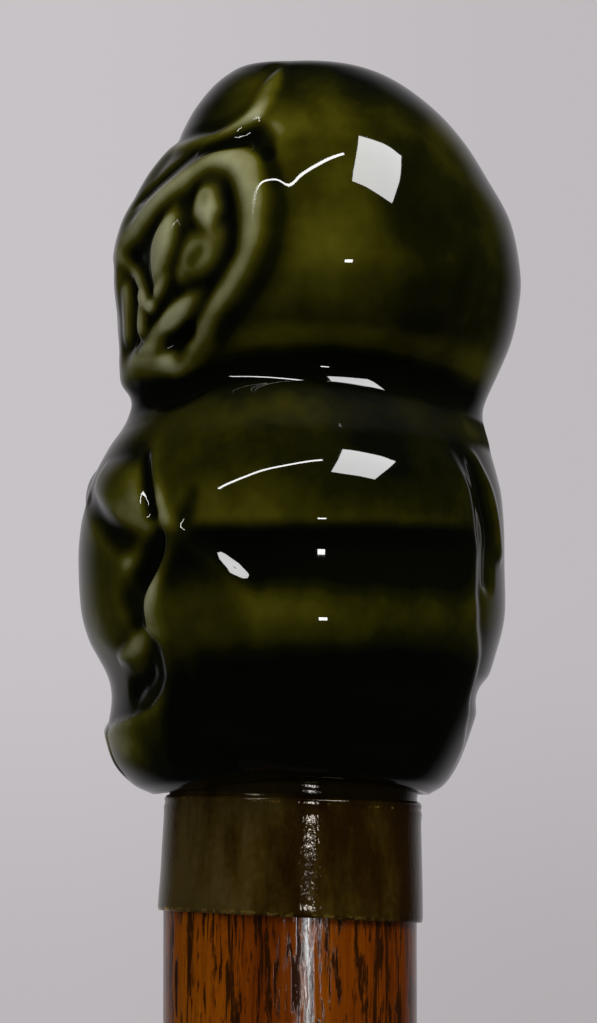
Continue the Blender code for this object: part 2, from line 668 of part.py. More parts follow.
def make_cup():
    """A closed brass cup with a rolled bead at its mouth, held by two nails."""
    brass = material("tip_brass", (0.20, 0.15, 0.045), 0.3, 1.0)
    bead = CUP_BEAD_HEIGHT / 2.0
    bend = CUP_EDGE_ROUND
    profile = [(0.0, cup_top)]
    for a in np.linspace(0.0, math.pi, 5):
        profile.append((cup_radius + CUP_BEAD_RISE * math.sin(a), cup_top - bead + bead * math.cos(a)))
    profile += arc((cup_radius - bend, cup_z + bend), bend, 0.0, -90.0, 3)
    profile += [(0.0, cup_z)]
    cup = add_object("tip_ferrule", turned(profile), brass)
    room = turned(
        [
            (0.0, cup_top + CUT_PAST),
            (cup_inner_radius, cup_top + CUT_PAST),
            (cup_inner_radius, cup_z + CUP_FLOOR),
            (0.0, cup_z + CUP_FLOOR),
        ]
    )
    cut(cup, cutter("cup_room", room))
    for piece in nail_holes("cup"):
        cut(cup, piece)
    for name, side in (("left", 1.0), ("right", -1.0)):
        base = cup_radius + SEAT_GAP
        nail = [
            (0.0, base + NAIL_HEAD_RISE),
            (NAIL_HEAD_RADIUS * 0.6, base + NAIL_HEAD_RISE * 0.8),
            (NAIL_HEAD_RADIUS, base + NAIL_HEAD_RISE * 0.25),
            (NAIL_HEAD_RADIUS, base),
            (NAIL_SHANK_RADIUS, base),
            (NAIL_SHANK_RADIUS, base - NAIL_LENGTH + NAIL_POINT),
            (0.0, base - NAIL_LENGTH),
        ]
        add_object(f"ferrule_nail_{name}", across(turned(nail, 16), side), brass)


def make_foot():
    """A push-on rubber foot: ribbed bell, flared base with ring treads, steel washer in the socket."""
    rubber = material("grey_rubber", (0.035, 0.034, 0.033), 0.75)
    steel = material("washer_steel", (0.5, 0.5, 0.52), 0.4, 1.0)
    mouth = foot_socket_radius + FOOT_MOUTH_WALL
    rib_rise = mouth + FOOT_RIB_RISE
    profile = [
        (0.0, FOOT_HEIGHT),
        (mouth - FOOT_MOUTH_CHAMFER, FOOT_HEIGHT),
        (mouth, FOOT_HEIGHT - FOOT_MOUTH_CHAMFER),
    ]
    for k in range(FOOT_RIB_COUNT):
        rib_top = FOOT_HEIGHT - FOOT_RIB_START - k * FOOT_RIB_PITCH
        profile += [
            (mouth, rib_top),
            (rib_rise, rib_top - FOOT_RIB_SLOPE),
            (rib_rise, rib_top - FOOT_RIB_HEIGHT + FOOT_RIB_SLOPE),
            (mouth, rib_top - FOOT_RIB_HEIGHT),
        ]
    flare = FOOT_BASE_RADIUS - mouth
    flare_top = rib_top - FOOT_RIB_HEIGHT
    for k in range(1, 5):
        share = k / 4.0
        height = flare_top + (FOOT_BASE_HEIGHT - flare_top) * share
        profile.append((mouth + flare * share**FOOT_FLARE_BEND, height))
    profile += [(FOOT_BASE_RADIUS, FOOT_BASE_CHAMFER), (FOOT_BASE_RADIUS - FOOT_BASE_CHAMFER, 0.0)]
    outer = FOOT_BASE_RADIUS - FOOT_BASE_CHAMFER - TREAD_LAND_WIDTH
    while outer - TREAD_GROOVE_WIDTH > TREAD_PAD_RADIUS + TREAD_GROOVE_BEVEL:
        inner = max(outer - TREAD_GROOVE_WIDTH, TREAD_PAD_RADIUS)
        profile += [
            (outer, 0.0),
            (outer - TREAD_GROOVE_BEVEL, TREAD_DEPTH),
            (inner + TREAD_GROOVE_BEVEL, TREAD_DEPTH),
            (inner, 0.0),
        ]
        outer = inner - TREAD_LAND_WIDTH
    profile += [(0.0, 0.0)]
    foot = add_object("rubber_foot", turned(profile), rubber)
    room = turned(
        [
            (0.0, FOOT_HEIGHT + CUT_PAST),
            (foot_socket_radius, FOOT_HEIGHT + CUT_PAST),
            (foot_socket_radius, FOOT_FLOOR),
            (0.0, FOOT_FLOOR),
        ]
    )
    cut(foot, cutter("foot_socket", room))
    radius = foot_socket_radius - SEAT_GAP
    disc = [
        (0.0, washer_z + WASHER_THICKNESS),
        (radius, washer_z + WASHER_THICKNESS),
        (radius, washer_z),
        (0.0, washer_z),
    ]
    add_object("foot_washer", turned(disc), steel)


clear_scene()
make_handle()
make_collar()
make_shaft()
make_cup()
make_foot()
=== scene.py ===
# Walking cane with a carved ceramic figure handle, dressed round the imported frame.
# The cane stands upright, the figure looks along -Y, and every size is in metres.

import math

import bmesh
import bpy
import numpy as np
from mathutils import Matrix, Vector, noise


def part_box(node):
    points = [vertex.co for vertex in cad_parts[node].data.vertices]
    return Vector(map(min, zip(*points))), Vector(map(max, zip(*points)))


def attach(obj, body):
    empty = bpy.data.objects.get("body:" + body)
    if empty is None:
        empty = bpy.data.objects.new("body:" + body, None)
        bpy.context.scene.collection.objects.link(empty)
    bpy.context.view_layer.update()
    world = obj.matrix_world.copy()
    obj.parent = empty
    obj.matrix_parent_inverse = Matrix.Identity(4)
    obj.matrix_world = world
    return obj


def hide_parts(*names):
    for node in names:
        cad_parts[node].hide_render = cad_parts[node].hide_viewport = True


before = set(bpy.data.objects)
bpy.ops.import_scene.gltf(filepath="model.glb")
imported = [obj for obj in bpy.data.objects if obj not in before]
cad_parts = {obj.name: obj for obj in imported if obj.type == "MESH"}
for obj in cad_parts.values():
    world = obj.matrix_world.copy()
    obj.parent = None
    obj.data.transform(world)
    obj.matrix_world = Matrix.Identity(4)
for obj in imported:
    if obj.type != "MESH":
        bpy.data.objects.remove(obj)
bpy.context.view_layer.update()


# Figure handle
# A hollow slip-cast ceramic figure: big round head, carved face, folded arms and legs. It was cast in
# a two-part mould, dipped in a thick green glaze that breaks pale on the ridges and pools dark in the
# hollows, and bedded in cement on a stud that comes up out of the shaft. Its colour also carries
# painted shade on the back and crown and in the neck and face-ring creases, and painted light on the
# shoulders.

FIGURE_HEIGHT = 0.0695
FIGURE_DEPTH = 0.0403
FIGURE_WIDTH = 0.0392
FIGURE_RECESS = 0.0021
FIGURE_WALL = 0.0046
NECK_RADIUS = 0.01074
NECK_LENGTH = 0.00463
RECESS_RADIUS = 0.01246
BORE_RADIUS = 0.00804
EDGE_BEVEL = 0.0003
ROOM_RADIUS = 0.011
ROOM_SHOULDER = 0.0027
ROOM_LEVELS = (11.0, 18.0, 28.0, 38.0, 46.0, 52.0, 60.0, 70.0, 80.0, 89.0)
NECK_LEVEL = 54.5
NECK_REACH = 8.0
NECK_ARCH = 0.0029
NECK_ARCH_TO_FRONT = 0.45
CROWN_LEVEL = 72.0
CROWN_LIFT = 0.00056
FOOT_LIFT = 0.0002
FOOT_LIFT_AT_SIDES = 0.0012
FOOT_LIFT_LEVEL = 15.0
CARVING_RISE = 0.0011
CARVING_SOFTNESS = 0.00024
RIDGE_SPREAD = 0.0011
SWELL_SPREAD = 0.0030
figure_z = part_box("figure_handle")[0][2] + NECK_LENGTH

# Rows run from the crown down: level as per cent of the height, reach to the front and to the back
# as per cent of the depth, and reach to each side as per cent of the width.
FIGURE_ROWS = (
    (100.0, -6.0, 6.0, 0.0),
    (99.3, 8.4, 16.6, 12.6),
    (97.3, 14.9, 25.6, 20.2),
    (93.5, 21.0, 34.5, 29.4),
    (89.2, 26.1, 41.3, 36.6),
    (84.2, 33.2, 46.9, 42.3),
    (78.4, 38.7, 52.4, 46.1),
    (71.2, 40.2, 54.7, 48.0),
    (66.0, 40.1, 54.0, 46.0),
    (62.0, 39.6, 52.4, 43.2),
    (58.6, 39.0, 50.0, 40.2),
    (56.3, 39.0, 48.2, 37.1),
    (54.6, 38.6, 46.9, 34.4),
    (53.0, 38.2, 46.0, 33.2),
    (51.5, 38.5, 45.9, 34.2),
    (50.0, 39.8, 46.4, 36.8),
    (48.4, 41.8, 47.1, 40.1),
    (47.0, 43.3, 47.5, 42.6),
    (44.0, 46.0, 48.8, 47.1),
    (41.0, 47.9, 49.9, 49.4),
    (36.5, 49.4, 50.5, 50.4),
    (31.7, 49.9, 50.6, 50.2),
    (24.5, 49.0, 50.6, 49.8),
    (18.7, 45.7, 48.1, 48.4),
    (14.4, 43.5, 45.6, 46.6),
    (8.6, 42.9, 42.4, 43.9),
    (4.3, 41.3, 39.6, 40.6),
    (1.4, 37.0, 36.4, 36.6),
    (0.0, 32.3, 32.8, 33.2),
)


def smooth_rows(rows, spans, crown=False):
    """Rows of a table with a smooth curve through them, at the given number of steps between rows."""
    rows = np.array(rows, float)
    before = 2.0 * rows[0] - rows[1]
    if crown:
        before[0] = rows[1][0]
    guide = np.vstack([before, rows, 2.0 * rows[-1] - rows[-2]])
    found = []
    for a, b, c, d in zip(guide, guide[1:], guide[2:], guide[3:]):
        for t in np.arange(spans) / spans:
            bend = (2.0 * a - 5.0 * b + 4.0 * c - d) * t**2 + (3.0 * b - a - 3.0 * c + d) * t**3
            found.append(b + 0.5 * ((c - a) * t + bend))
    found.append(rows[-1])
    return np.array(found)


figure_curve = smooth_rows(FIGURE_ROWS, 12, crown=True)


def figure_reach(level):
    """Front, back and side reach of the uncarved figure at a level, in metres."""
    rising = figure_curve[::-1]
    sizes = (FIGURE_DEPTH, FIGURE_DEPTH, FIGURE_WIDTH)
    return [np.interp(level, rising[:, 0], rising[:, k + 1]) / 100.0 * sizes[k] for k in range(3)]


def foot_lift(turn, level):
    """How far the bottom edge stands up from the level plane, more at the sides than at the feet."""
    lift = FOOT_LIFT + FOOT_LIFT_AT_SIDES * np.sin(turn) ** 2
    return lift * np.clip(1.0 - level / FOOT_LIFT_LEVEL, 0.0, 1.0) ** 2


def on_figure(turn, level, inset=0.0):
    """Places on the uncarved figure, by the turn in radians from the middle of the face and the level."""
    front, back, side = figure_reach(level)
    wide = side - inset
    deep = (front + back) / 2.0 - inset
    neck_arch = NECK_ARCH * np.exp(-(((level - NECK_LEVEL) / NECK_REACH) ** 2))
    neck_arch = neck_arch * (1.0 + NECK_ARCH_TO_FRONT * np.cos(turn))
    crown = CROWN_LIFT * np.clip((level - CROWN_LEVEL) / (100.0 - CROWN_LEVEL), 0.0, 1.0) ** 1.5
    height = FIGURE_HEIGHT * level / 100.0 + neck_arch * np.sin(turn) ** 2 + crown + foot_lift(turn, level)
    return np.stack([wide * np.sin(turn), (back - front) / 2.0 - deep * np.cos(turn), height], -1)


# The carving is worked out on a map of half the figure, turn by level, and mirrored to the other half.
# MAP_CELL is the height of one step of level, and blurs take a step of turn to be as long.
MAP_TURNS = 401
MAP_LEVELS = 441
MAP_CELL = 0.000158
map_turns = np.linspace(0.0, 180.0, MAP_TURNS)
map_levels = np.linspace(0.0, 100.0, MAP_LEVELS)
turn_map, level_map = np.meshgrid(map_turns, map_levels)
place_map = on_figure(np.radians(turn_map), level_map)


def fade(value):
    """Rises smoothly from 0 to 1."""
    value = np.clip(value, 0.0, 1.0)
    return value * value * (3.0 - 2.0 * value)


# A stroke is worked out only near its route, and at every turn where it comes close to the crown.
FAR_AWAY = 9.0
STROKE_ROOM = 1.3
LEVEL_MARGIN = 5.0
LEAST_RADIUS = 0.013
NEAR_CROWN = 91.0


def stroke_share(route):
    """How far each place of the map lies from a stroke, in half widths, and the half width there.

    A route is a row of (turn in degrees, level, half width in thousandths of the figure's depth).
    """
    path = smooth_rows(route, 6)
    line = on_figure(np.radians(path[:, 0]), path[:, 1])
    widths = path[:, 2] / 1000.0 * FIGURE_DEPTH
    share = np.full(turn_map.shape, FAR_AWAY)
    width = np.full(turn_map.shape, widths.max())
    room = widths.max() * STROKE_ROOM
    level_room = room / FIGURE_HEIGHT * 100.0 + LEVEL_MARGIN
    turn_room = np.degrees(room / LEAST_RADIUS)
    above_low = map_levels > path[:, 1].min() - level_room
    below_high = map_levels < path[:, 1].max() + level_room
    rows = np.flatnonzero(above_low & below_high)
    past_first = map_turns > path[:, 0].min() - turn_room
    before_last = map_turns < path[:, 0].max() + turn_room
    if path[:, 1].max() > NEAR_CROWN:
        columns = np.arange(len(map_turns))
    else:
        columns = np.flatnonzero(past_first & before_last)
    part = np.ix_(rows, columns)
    spots = place_map[part]
    near_share = share[part]
    near_width = width[part]
    for start, end, first, last in zip(line, line[1:], widths, widths[1:]):
        run = end - start
        along = np.clip((spots - start) @ run / (run @ run), 0.0, 1.0)
        away = np.linalg.norm(spots - start - along[..., None] * run, axis=-1)
        here = first + (last - first) * along
        closer = away / here < near_share
        near_share = np.where(closer, away / here, near_share)
        near_width = np.where(closer, here, near_width)
    share[part] = near_share
    width[part] = near_width
    return share, width / widths.max()


def ridge(route, rise):
    """A raised band with a broad back."""
    share, width = stroke_share(route)
    return rise * width * (1.0 - np.clip(share, 0.0, 1.0) ** 2.3) ** 1.9


def leaf(route, rise):
    """A raised form with a round back, as modelled with a thumb."""
    share, width = stroke_share(route)
    return rise * width * (1.0 - np.clip(share, 0.0, 1.0) ** 2) ** 1.25


def inside(outline):
    """Which places of the map lie in an outline drawn in turns and levels."""
    found = np.zeros(turn_map.shape, bool)
    outline = np.array(outline)
    for (turn_a, level_a), (turn_b, level_b) in zip(outline, np.roll(outline, -1, axis=0)):
        if level_a == level_b:
            continue
        crossing = (level_map > min(level_a, level_b)) & (level_map <= max(level_a, level_b))
        turn_there = turn_a + (level_map - level_a) / (level_b - level_a) * (turn_b - turn_a)
        found ^= crossing & (turn_map < turn_there)
    return found


def field(rim, reach, closed=False):
    """Fades from 0 at a rim to 1 at the given reach inside it."""
    path = smooth_rows(rim + rim[:1] if closed else rim, 6)
    route = np.column_stack([path[:, :2], np.full(len(path), reach / FIGURE_DEPTH * 1000.0)])
    share = stroke_share(route)[0]
    return np.where(inside(path[:, :2]), fade(share), 0.0)


def soften(values, reach, axes=(0, 1)):
    """The map blurred over a reach in metres."""
    spread = reach / MAP_CELL
    taps = np.arange(-int(3 * spread), int(3 * spread) + 1)
    weights = np.exp(-0.5 * (taps / spread) ** 2)
    weights /= weights.sum()
    margin = len(taps) // 2
    for axis in axes:
        pad = [(0, 0), (0, 0)]
        pad[axis] = (margin, margin)
        wide = np.pad(values, pad, mode="reflect")
        count = values.shape[axis]
        values = sum(w * np.take(wide, range(k, k + count), axis=axis) for k, w in enumerate(weights))
    return values


FACE_RING = (
    (0, 74.4, 40), (6, 75.2, 40), (12, 76.6, 40), (18.5, 78.6, 40), (25, 80.6, 40), (31, 82.3, 42),
    (37, 83.7, 47), (43.5, 84.4, 54), (50.5, 84.0, 62), (56.5, 82.5, 72), (60.8, 79.6, 78),
    (62.2, 76.0, 78), (61, 71.6, 72), (57.4, 67.8, 64), (53, 64.8, 58), (49.3, 61.8, 52),
    (47.2, 58.6, 48), (44.6, 55.8, 46), (39.4, 55.0, 46), (33, 56.4, 50), (26, 57.5, 54),
    (17, 58.0, 56), (8, 57.8, 56), (0, 57.6, 56),
)
face_outline = tuple(row[:2] for row in FACE_RING)
BROW_SHIELD = (
    (0, 88.4), (16, 88.2), (27, 88.3), (36.5, 88.5), (44.5, 89.6), (50.5, 91.4), (55, 94.0), (57, 97.2),
    (62, 99.2), (0, 99.9),
)
LEG_HOLLOW = (
    (38.2, 19.9), (39.4, 16.3), (37.8, 14.3), (34, 12.6), (29, 11.8), (23.5, 11.8), (19.0, 13.2),
    (19.5, 15.2), (25, 16.8), (32, 18.4),
)
ARM_FRONT_EDGE = (
    (8.6, 0.0), (9.8, 12.0), (10.4, 24.0), (11.6, 34.0), (13.5, 38.5), (15.8, 41.0), (18.4, 41.5),
    (21.2, 40.5), (23.0, 38.5), (25.5, 38.2), (28.0, 40.2), (29.9, 43.5), (32.4, 47.0), (33.9, 47.2),
    (35.4, 45.5), (38.0, 43.0), (41.5, 40.0), (43.7, 37.0), (46.5, 33.0),
)
FACE_PROFILE = (
    (53.5, 0.0), (56.5, 0.45), (59.4, 0.65), (62.1, 0.55), (64.8, 0.42), (67.6, 0.6), (70.3, 0.8),
    (73.0, 0.86), (75.8, 0.72), (78.5, 0.52), (81.2, 0.3), (84.0, 0.46), (86.7, 0.5), (89.5, 0.3),
)
ARM_BACK_EDGE = (
    (6.4, 160.0), (9.4, 152.5), (14.6, 147.0), (18.8, 145.0), (22.7, 139.5), (26.7, 137.8),
    (32.9, 139.0), (35.0, 138.0), (38.0, 137.2), (40.9, 136.0), (43.2, 134.2), (46.5, 131.0),
)

BANDS = {
    "forehead rim": (
        (
            (0, 87.8, 28), (14, 87.6, 28), (27, 87.8, 30), (36.2, 87.9, 32), (43.5, 88.8, 35),
            (49.5, 90.2, 38), (53.8, 92.2, 38), (56.2, 94.4, 33), (57.5, 96.2, 24), (59, 97.6, 12),
        ),
        0.45,
    ),
    "nose line": (((3.5, 73.6, 18), (8, 72.2, 26), (13, 70.6, 28), (18.5, 68.2, 29), (23.5, 65.6, 24)), 0.60),
    "nose line back": (((31.3, 69.4, 16), (28, 67.4, 24), (23.5, 65.2, 24)), 0.45),
    "middle tooth": (((8.6, 68.8, 30), (8.2, 62.2, 32)), 0.60),
    "side tooth": (((18.8, 66.6, 32), (18.4, 62.6, 34)), 0.60),
    "knee ridge": (((38.8, 21.6, 26), (32, 19.9, 36), (25, 18.8, 26), (20, 18.0, 12)), 0.5),
    "back ridge": (((143, 45.0, 30), (150, 39.5, 40), (156, 33.0, 36)), 0.35),
}
LEAVES = {
    "mouth floor": (((5, 66.8, 70), (12, 63.6, 95), (20, 61.2, 70)), 0.42),
    "nose wing": (((32.0, 79.2, 16), (30.2, 76.6, 44), (27.6, 73.0, 58), (26.0, 68.0, 26)), 0.98),
    "brow bead": (((44.8, 80.2, 56), (45.6, 78.4, 58)), 0.8),
    "eye": (((48.4, 74.0, 58), (43.6, 71.8, 80), (38.4, 69.8, 54)), 0.62),
    "eye link": (((46.2, 76.8, 20), (46.8, 75.4, 22)), 0.12),
    "cheek leaf": (
        (
            (46, 66.8, 16), (40.5, 65.1, 38), (34, 63.0, 46), (27, 61.2, 40), (20.5, 60.0, 16),
        ),
        0.90,
    ),
    "brow knob": (((61, 90.2, 80), (63, 89.2, 80)), 0.18),
    "forehead medallion": (((0, 95.2, 130), (20, 94.4, 130), (34, 93.6, 110)), 0.35),
    "chest lobe": (((13, 42.8, 50), (22, 41.4, 80), (31, 40.0, 92), (39.5, 38.6, 60)), 0.60),
    "arm rim": (
        (
            (44, 38.0, 30), (48.5, 34.0, 36), (44.5, 29.5, 36), (41.5, 26.0, 36), (42.5, 21.5, 34),
        ),
        0.22,
    ),
}
HOLLOWS = {
    "eye dimple": (((44.0, 72.3, 26), (41.6, 71.4, 28)), -0.17),
    "bead dimple": (((44.5, 79.6, 22), (45.0, 78.6, 22)), -0.12),
    "cheek wedge": (((40.5, 60.6, 34), (33.5, 59.9, 30)), -0.35),
    "forehead crease": (
        (
            (33.8, 86.3, 14), (41, 86.9, 28), (47.8, 87.6, 42), (53.5, 88.0, 50), (58.8, 87.0, 42),
            (63, 85.0, 26),
        ),
        -0.55,
    ),
    "outer crease": (
        (
            (63, 85.0, 26), (67.8, 81.4, 48), (70.2, 77.4, 62), (69.6, 73.2, 66), (67.0, 69.4, 66),
            (63.0, 65.8, 62), (58.6, 62.6, 56), (55.6, 59.8, 44), (53.6, 57.2, 30),
        ),
        -0.11,
    ),
    "bridge crease": (((30, 86.2, 16), (22, 84.2, 26), (14, 82.0, 26), (8, 80.4, 20)), -0.35),
    "chin crease": (((0, 54.4, 46), (20, 53.4, 48), (38, 51.6, 46), (52, 52.8, 34)), -0.30),
    "chest crease": (((4, 40.2, 30), (14, 38.2, 44), (23, 35.8, 48), (31, 33.8, 50), (40, 32.6, 48)), -0.42),
    "arm crease": (((33.5, 45.0, 14), (37.4, 41.6, 26), (41.6, 37.6, 34)), -0.6),
    "arm dent": (((54.0, 39.4, 24), (52.6, 36.6, 34)), -0.42),
    "elbow pocket": (((43.4, 33.6, 40), (41.2, 31.2, 60), (38.0, 29.4, 56)), -0.85),
    "waist crease": (((37.5, 29.0, 56), (34.2, 26.6, 66), (33.6, 23.6, 44)), -0.65),
    "heel notch": (((0, 14.8, 110), (12, 14.8, 110), (22, 14.2, 70)), -0.52),
    "back gutter": (((141.5, 44.0, 34), (144.5, 39.6, 46), (147.5, 35.0, 46), (146, 29.0, 40)), -0.5),
    "rear notch": (((150, 13.8, 44), (165, 13.8, 50), (180, 13.9, 52)), -0.5),
    "foot parting": (((0, 8.4, 14), (0, 3.0, 18)), -0.28),
}

# Every rise and depth is in shares of CARVING_RISE. The face is sunk inside its ring, and the brow
# stands proud above it.
carving_map = -0.72 * field(face_outline, 0.0026)
carving_map += ridge(FACE_RING, 0.60)
carving_map += 0.25 * field(BROW_SHIELD, 0.0018)
carving_map -= 1.1 * field(LEG_HOLLOW, 0.0034, closed=True)

# Arm and leg are one raised side between a front and a back edge, with a groove across it below the
# arm and a hollow along the thigh.
past_front = fade((turn_map - np.interp(level_map, *np.array(ARM_FRONT_EDGE).T) + 2.0) / 4.0)
before_back = fade((np.interp(level_map, *np.array(ARM_BACK_EDGE).T) + 2.4 - turn_map) / 4.8)
side_height = fade((level_map - 2.0) / 12.0) * fade((48.5 - level_map) / 9.0)
carving_map += 0.55 * side_height * past_front * before_back
groove_above = fade((36.0 - level_map) / 3.4)
groove_below = fade((level_map - 22.5) / 8.0)
groove_front = np.interp(level_map, (26.0, 29.0, 34.0, 37.0), (65.5, 63.5, 52.0, 46.0))
groove_ends = fade((turn_map - groove_front) / 8.0) * fade((140.0 - turn_map) / 16.0)
groove_depth = 0.90 + 0.45 * np.exp(-(((turn_map - 70.0) / 9.0) ** 2))
carving_map -= groove_depth * groove_above * groove_below * groove_ends
thigh_ends = fade((turn_map - 50.8) / 4.6) * fade((138.0 - turn_map) / 14.0)
thigh_bottom = np.interp(turn_map, (58.0, 84.0), (6.6, 1.0))
thigh_slope = np.interp(turn_map, (58.0, 84.0), (3.6, 6.0))
thigh_ends *= fade((21.0 - level_map) / 7.0) * fade((level_map - thigh_bottom) / thigh_slope)
carving_map -= 0.90 * thigh_ends

for route, rise in BANDS.values():
    carving_map += ridge(route, rise)
for route, rise in LEAVES.values():
    carving_map += leaf(route, rise)
for route, rise in HOLLOWS.values():
    carving_map += ridge(route, rise)

# The middle of the face follows a profile of its own.
face_middle = 0.85 * fade((13.0 - turn_map) / 11.0)
face_middle *= fade((level_map - 53.5) / 3.0) * fade((90.0 - level_map) / 3.0)
carving_map += face_middle * (np.interp(level_map, *np.array(FACE_PROFILE).T) - carving_map)
carving_map = soften(carving_map, CARVING_SOFTNESS)

# The glaze runs thin over whatever stands proud of its surroundings, and thick where it can gather.
ridge_map = carving_map - soften(carving_map, RIDGE_SPREAD)
reach_map = np.hypot(place_map[..., 0], place_map[..., 1]) + carving_map * CARVING_RISE
swell_map = (reach_map - soften(reach_map, SWELL_SPREAD, axes=(0,))) / CARVING_RISE
on_side = fade((turn_map - 46.0) / 12.0) * fade((48.0 - level_map) / 4.0)
pool_and_shade_map = -1.25 * ridge_map * (1.0 - 0.6 * on_side) - 0.22 * np.clip(swell_map, -1.2, 0.5)

# Each stretch of the figure then gets the darkness that the photograph shows there: the face and
# brow, the groove below the arm, the chest and neck, the back and crown, and the legs. Most of it is
# glaze depth; the terms that are painted shade or light say so.
face_part = soften(1.0 * inside(face_outline), 0.0008)
near_face = fade((70.0 - turn_map) / 6.0) * fade((level_map - 50.0) / 4.0) * fade((96.0 - level_map) / 6.0)
pool_and_shade_map -= 0.62 * np.clip(ridge_map, 0.0, 0.6) * near_face + 0.12 * face_part
pool_and_shade_map += 0.14 * fade(-carving_map / 0.75) * face_part
pool_and_shade_map += 0.20 * field(BROW_SHIELD, 0.0018)
# Painted shade along the crease outside the face ring.
ring_shade = (
    (62.6, 85.6, 24), (66.2, 82.0, 34), (68.6, 77.4, 40), (67.2, 73.0, 40), (64.0, 69.0, 40),
    (60.0, 65.6, 38), (56.0, 62.2, 34), (53.6, 58.6, 28),
)
pool_and_shade_map += ridge(ring_shade, 0.26)
groove_dark = fade((turn_map - 41.5) / 6.0) * fade((142.0 - turn_map) / 10.0)
pool_and_shade_map += 0.42 * fade((36.8 - level_map) / 3.0) * fade((level_map - 25.0) / 6.0) * groove_dark
pool_and_shade_map += 0.12 * np.exp(-(((level_map - 43.0) / 3.4) ** 2)) + 0.06 * fade((50.0 - level_map) / 4.0)
past_cheek = fade((turn_map - 56.0) / 12.0)
# A dark band along the neck crease: partly pooled glaze, partly painted shade.
pool_and_shade_map += 0.34 * np.exp(-(((level_map - 53.0) / 1.3) ** 2))
pool_and_shade_map -= 0.27 * fade((61.5 - level_map) / 4.0) * fade((level_map - 54.6) / 2.0) * past_cheek
# Painted light: the top of the shoulder below the neck, facing the lamps, is lighter.
pool_and_shade_map -= 0.09 * np.exp(-(((level_map - 48.9) / 1.8) ** 2)) * fade((turn_map - 42.0) / 8.0)
# Painted shade: the back half, turned from the lamps, and the crown behind the face are darker.
pool_and_shade_map += 0.17 * fade((turn_map - 86.0) / 24.0) * fade((level_map - 4.0) / 6.0)
pool_and_shade_map += 0.24 * fade((level_map - 88.0) / 8.0) * past_cheek
pool_and_shade_map -= 0.35 * np.exp(-(((level_map - 6.5) / 3.0) ** 2)) * fade((34.0 - turn_map) / 12.0)
legs = fade((23.5 - level_map) / 11.0) * fade((turn_map - 37.0) / 9.0) * fade((level_map + 4.0) / 6.0)
pool_and_shade_map += 0.50 * legs
pool_and_shade_map += 0.12 * fade((22.0 - level_map) / 20.0)

# Dust has dulled the glaze in the neck, and the low parts of the face.
dull_map = fade((51.2 - level_map) / 0.7) * fade((level_map - 46.4) / 1.2) * fade((turn_map - 36.0) / 8.0)
dull_map += face_part * fade((turn_map - 30.0) / 6.0)


def from_map(values, turns, levels):
    """The map's values at given turns in degrees and levels, read between its cells."""
    column = np.clip(np.abs(turns) / 180.0, 0.0, 1.0) * (len(map_turns) - 1)
    row = np.clip(levels / 100.0, 0.0, 1.0) * (len(map_levels) - 1)
    left = np.minimum(column.astype(int), len(map_turns) - 2)
    low = np.minimum(row.astype(int), len(map_levels) - 2)
    across = column - left
    up = row - low
    bottom = values[low, left] * (1.0 - across) + values[low, left + 1] * across
    top = values[low + 1, left] * (1.0 - across) + values[low + 1, left + 1] * across
    return bottom * (1.0 - up) + top * up


def turned(profile, steps):
    """A closed body turned about Z from (radius, height) points listed from the top down."""
    form = bmesh.new()
    spots = [form.verts.new((radius, 0.0, height)) for radius, height in profile]
    edges = [form.edges.new(pair) for pair in zip(spots, spots[1:])]
    if profile[0][0] > 0.0:
        edges.append(form.edges.new((spots[-1], spots[0])))
    bmesh.ops.spin(
        form, geom=spots + edges, axis=(0.0, 0.0, 1.0), angle=2.0 * math.pi, steps=steps, use_merge=True
    )
    bmesh.ops.remove_doubles(form, verts=form.verts[:], dist=1e-7)
    bmesh.ops.recalc_face_normals(form, faces=form.faces[:])
    return form


def add_piece(name, form, sharp_deg=40.0):
    """Puts a finished bmesh in the scene as a piece with smooth faces and sharp corners."""
    mesh = bpy.data.meshes.new(name)
    form.to_mesh(mesh)
    form.free()
    mesh.shade_smooth()
    mesh.set_sharp_from_angle(angle=math.radians(sharp_deg))
    piece = bpy.data.objects.new(name, mesh)
    bpy.context.scene.collection.objects.link(piece)
    return piece


FIGURE_ROW_COUNT = 268
FIGURE_TURN_STEPS = 320
FACE_CLOSENESS = 0.22
ON_SKIN = 1e-6
EDGE_LEVEL = 1.5

side_curve = on_figure(np.full(len(figure_curve), math.pi / 2.0), figure_curve[:, 0])
side_length = np.concatenate([[0.0], np.cumsum(np.linalg.norm(np.diff(side_curve, axis=0), axis=1))])
skin_levels = np.interp(np.linspace(0.0, side_length[-1], FIGURE_ROW_COUNT), side_length, figure_curve[:, 0])
blank = [(0.0, FIGURE_HEIGHT)]
blank += [(figure_reach(level)[2], FIGURE_HEIGHT * level / 100.0) for level in skin_levels[1:]]
blank += [
    (RECESS_RADIUS + EDGE_BEVEL, 0.0),
    (RECESS_RADIUS, EDGE_BEVEL),
    (RECESS_RADIUS, FIGURE_RECESS),
    (NECK_RADIUS, FIGURE_RECESS),
    (NECK_RADIUS, -NECK_LENGTH + EDGE_BEVEL),
    (NECK_RADIUS - EDGE_BEVEL, -NECK_LENGTH),
    (BORE_RADIUS, -NECK_LENGTH),
    (BORE_RADIUS, FIGURE_RECESS + ROOM_SHOULDER),
]
blank += [(ROOM_RADIUS, FIGURE_HEIGHT * level / 100.0) for level in ROOM_LEVELS]
blank += [(0.0, FIGURE_HEIGHT - FIGURE_WALL)]
form = turned(blank, FIGURE_TURN_STEPS)
places = np.array([v.co for v in form.verts])
radii = np.hypot(places[:, 0], places[:, 1])
even_turns = np.arctan2(places[:, 0], -places[:, 1])
turns = even_turns - FACE_CLOSENESS * np.sin(even_turns)
levels = places[:, 2] / FIGURE_HEIGHT * 100.0
skin_radii = figure_reach(levels)[2]
on_skin = (np.abs(radii - skin_radii) < ON_SKIN) & (levels > -0.001)
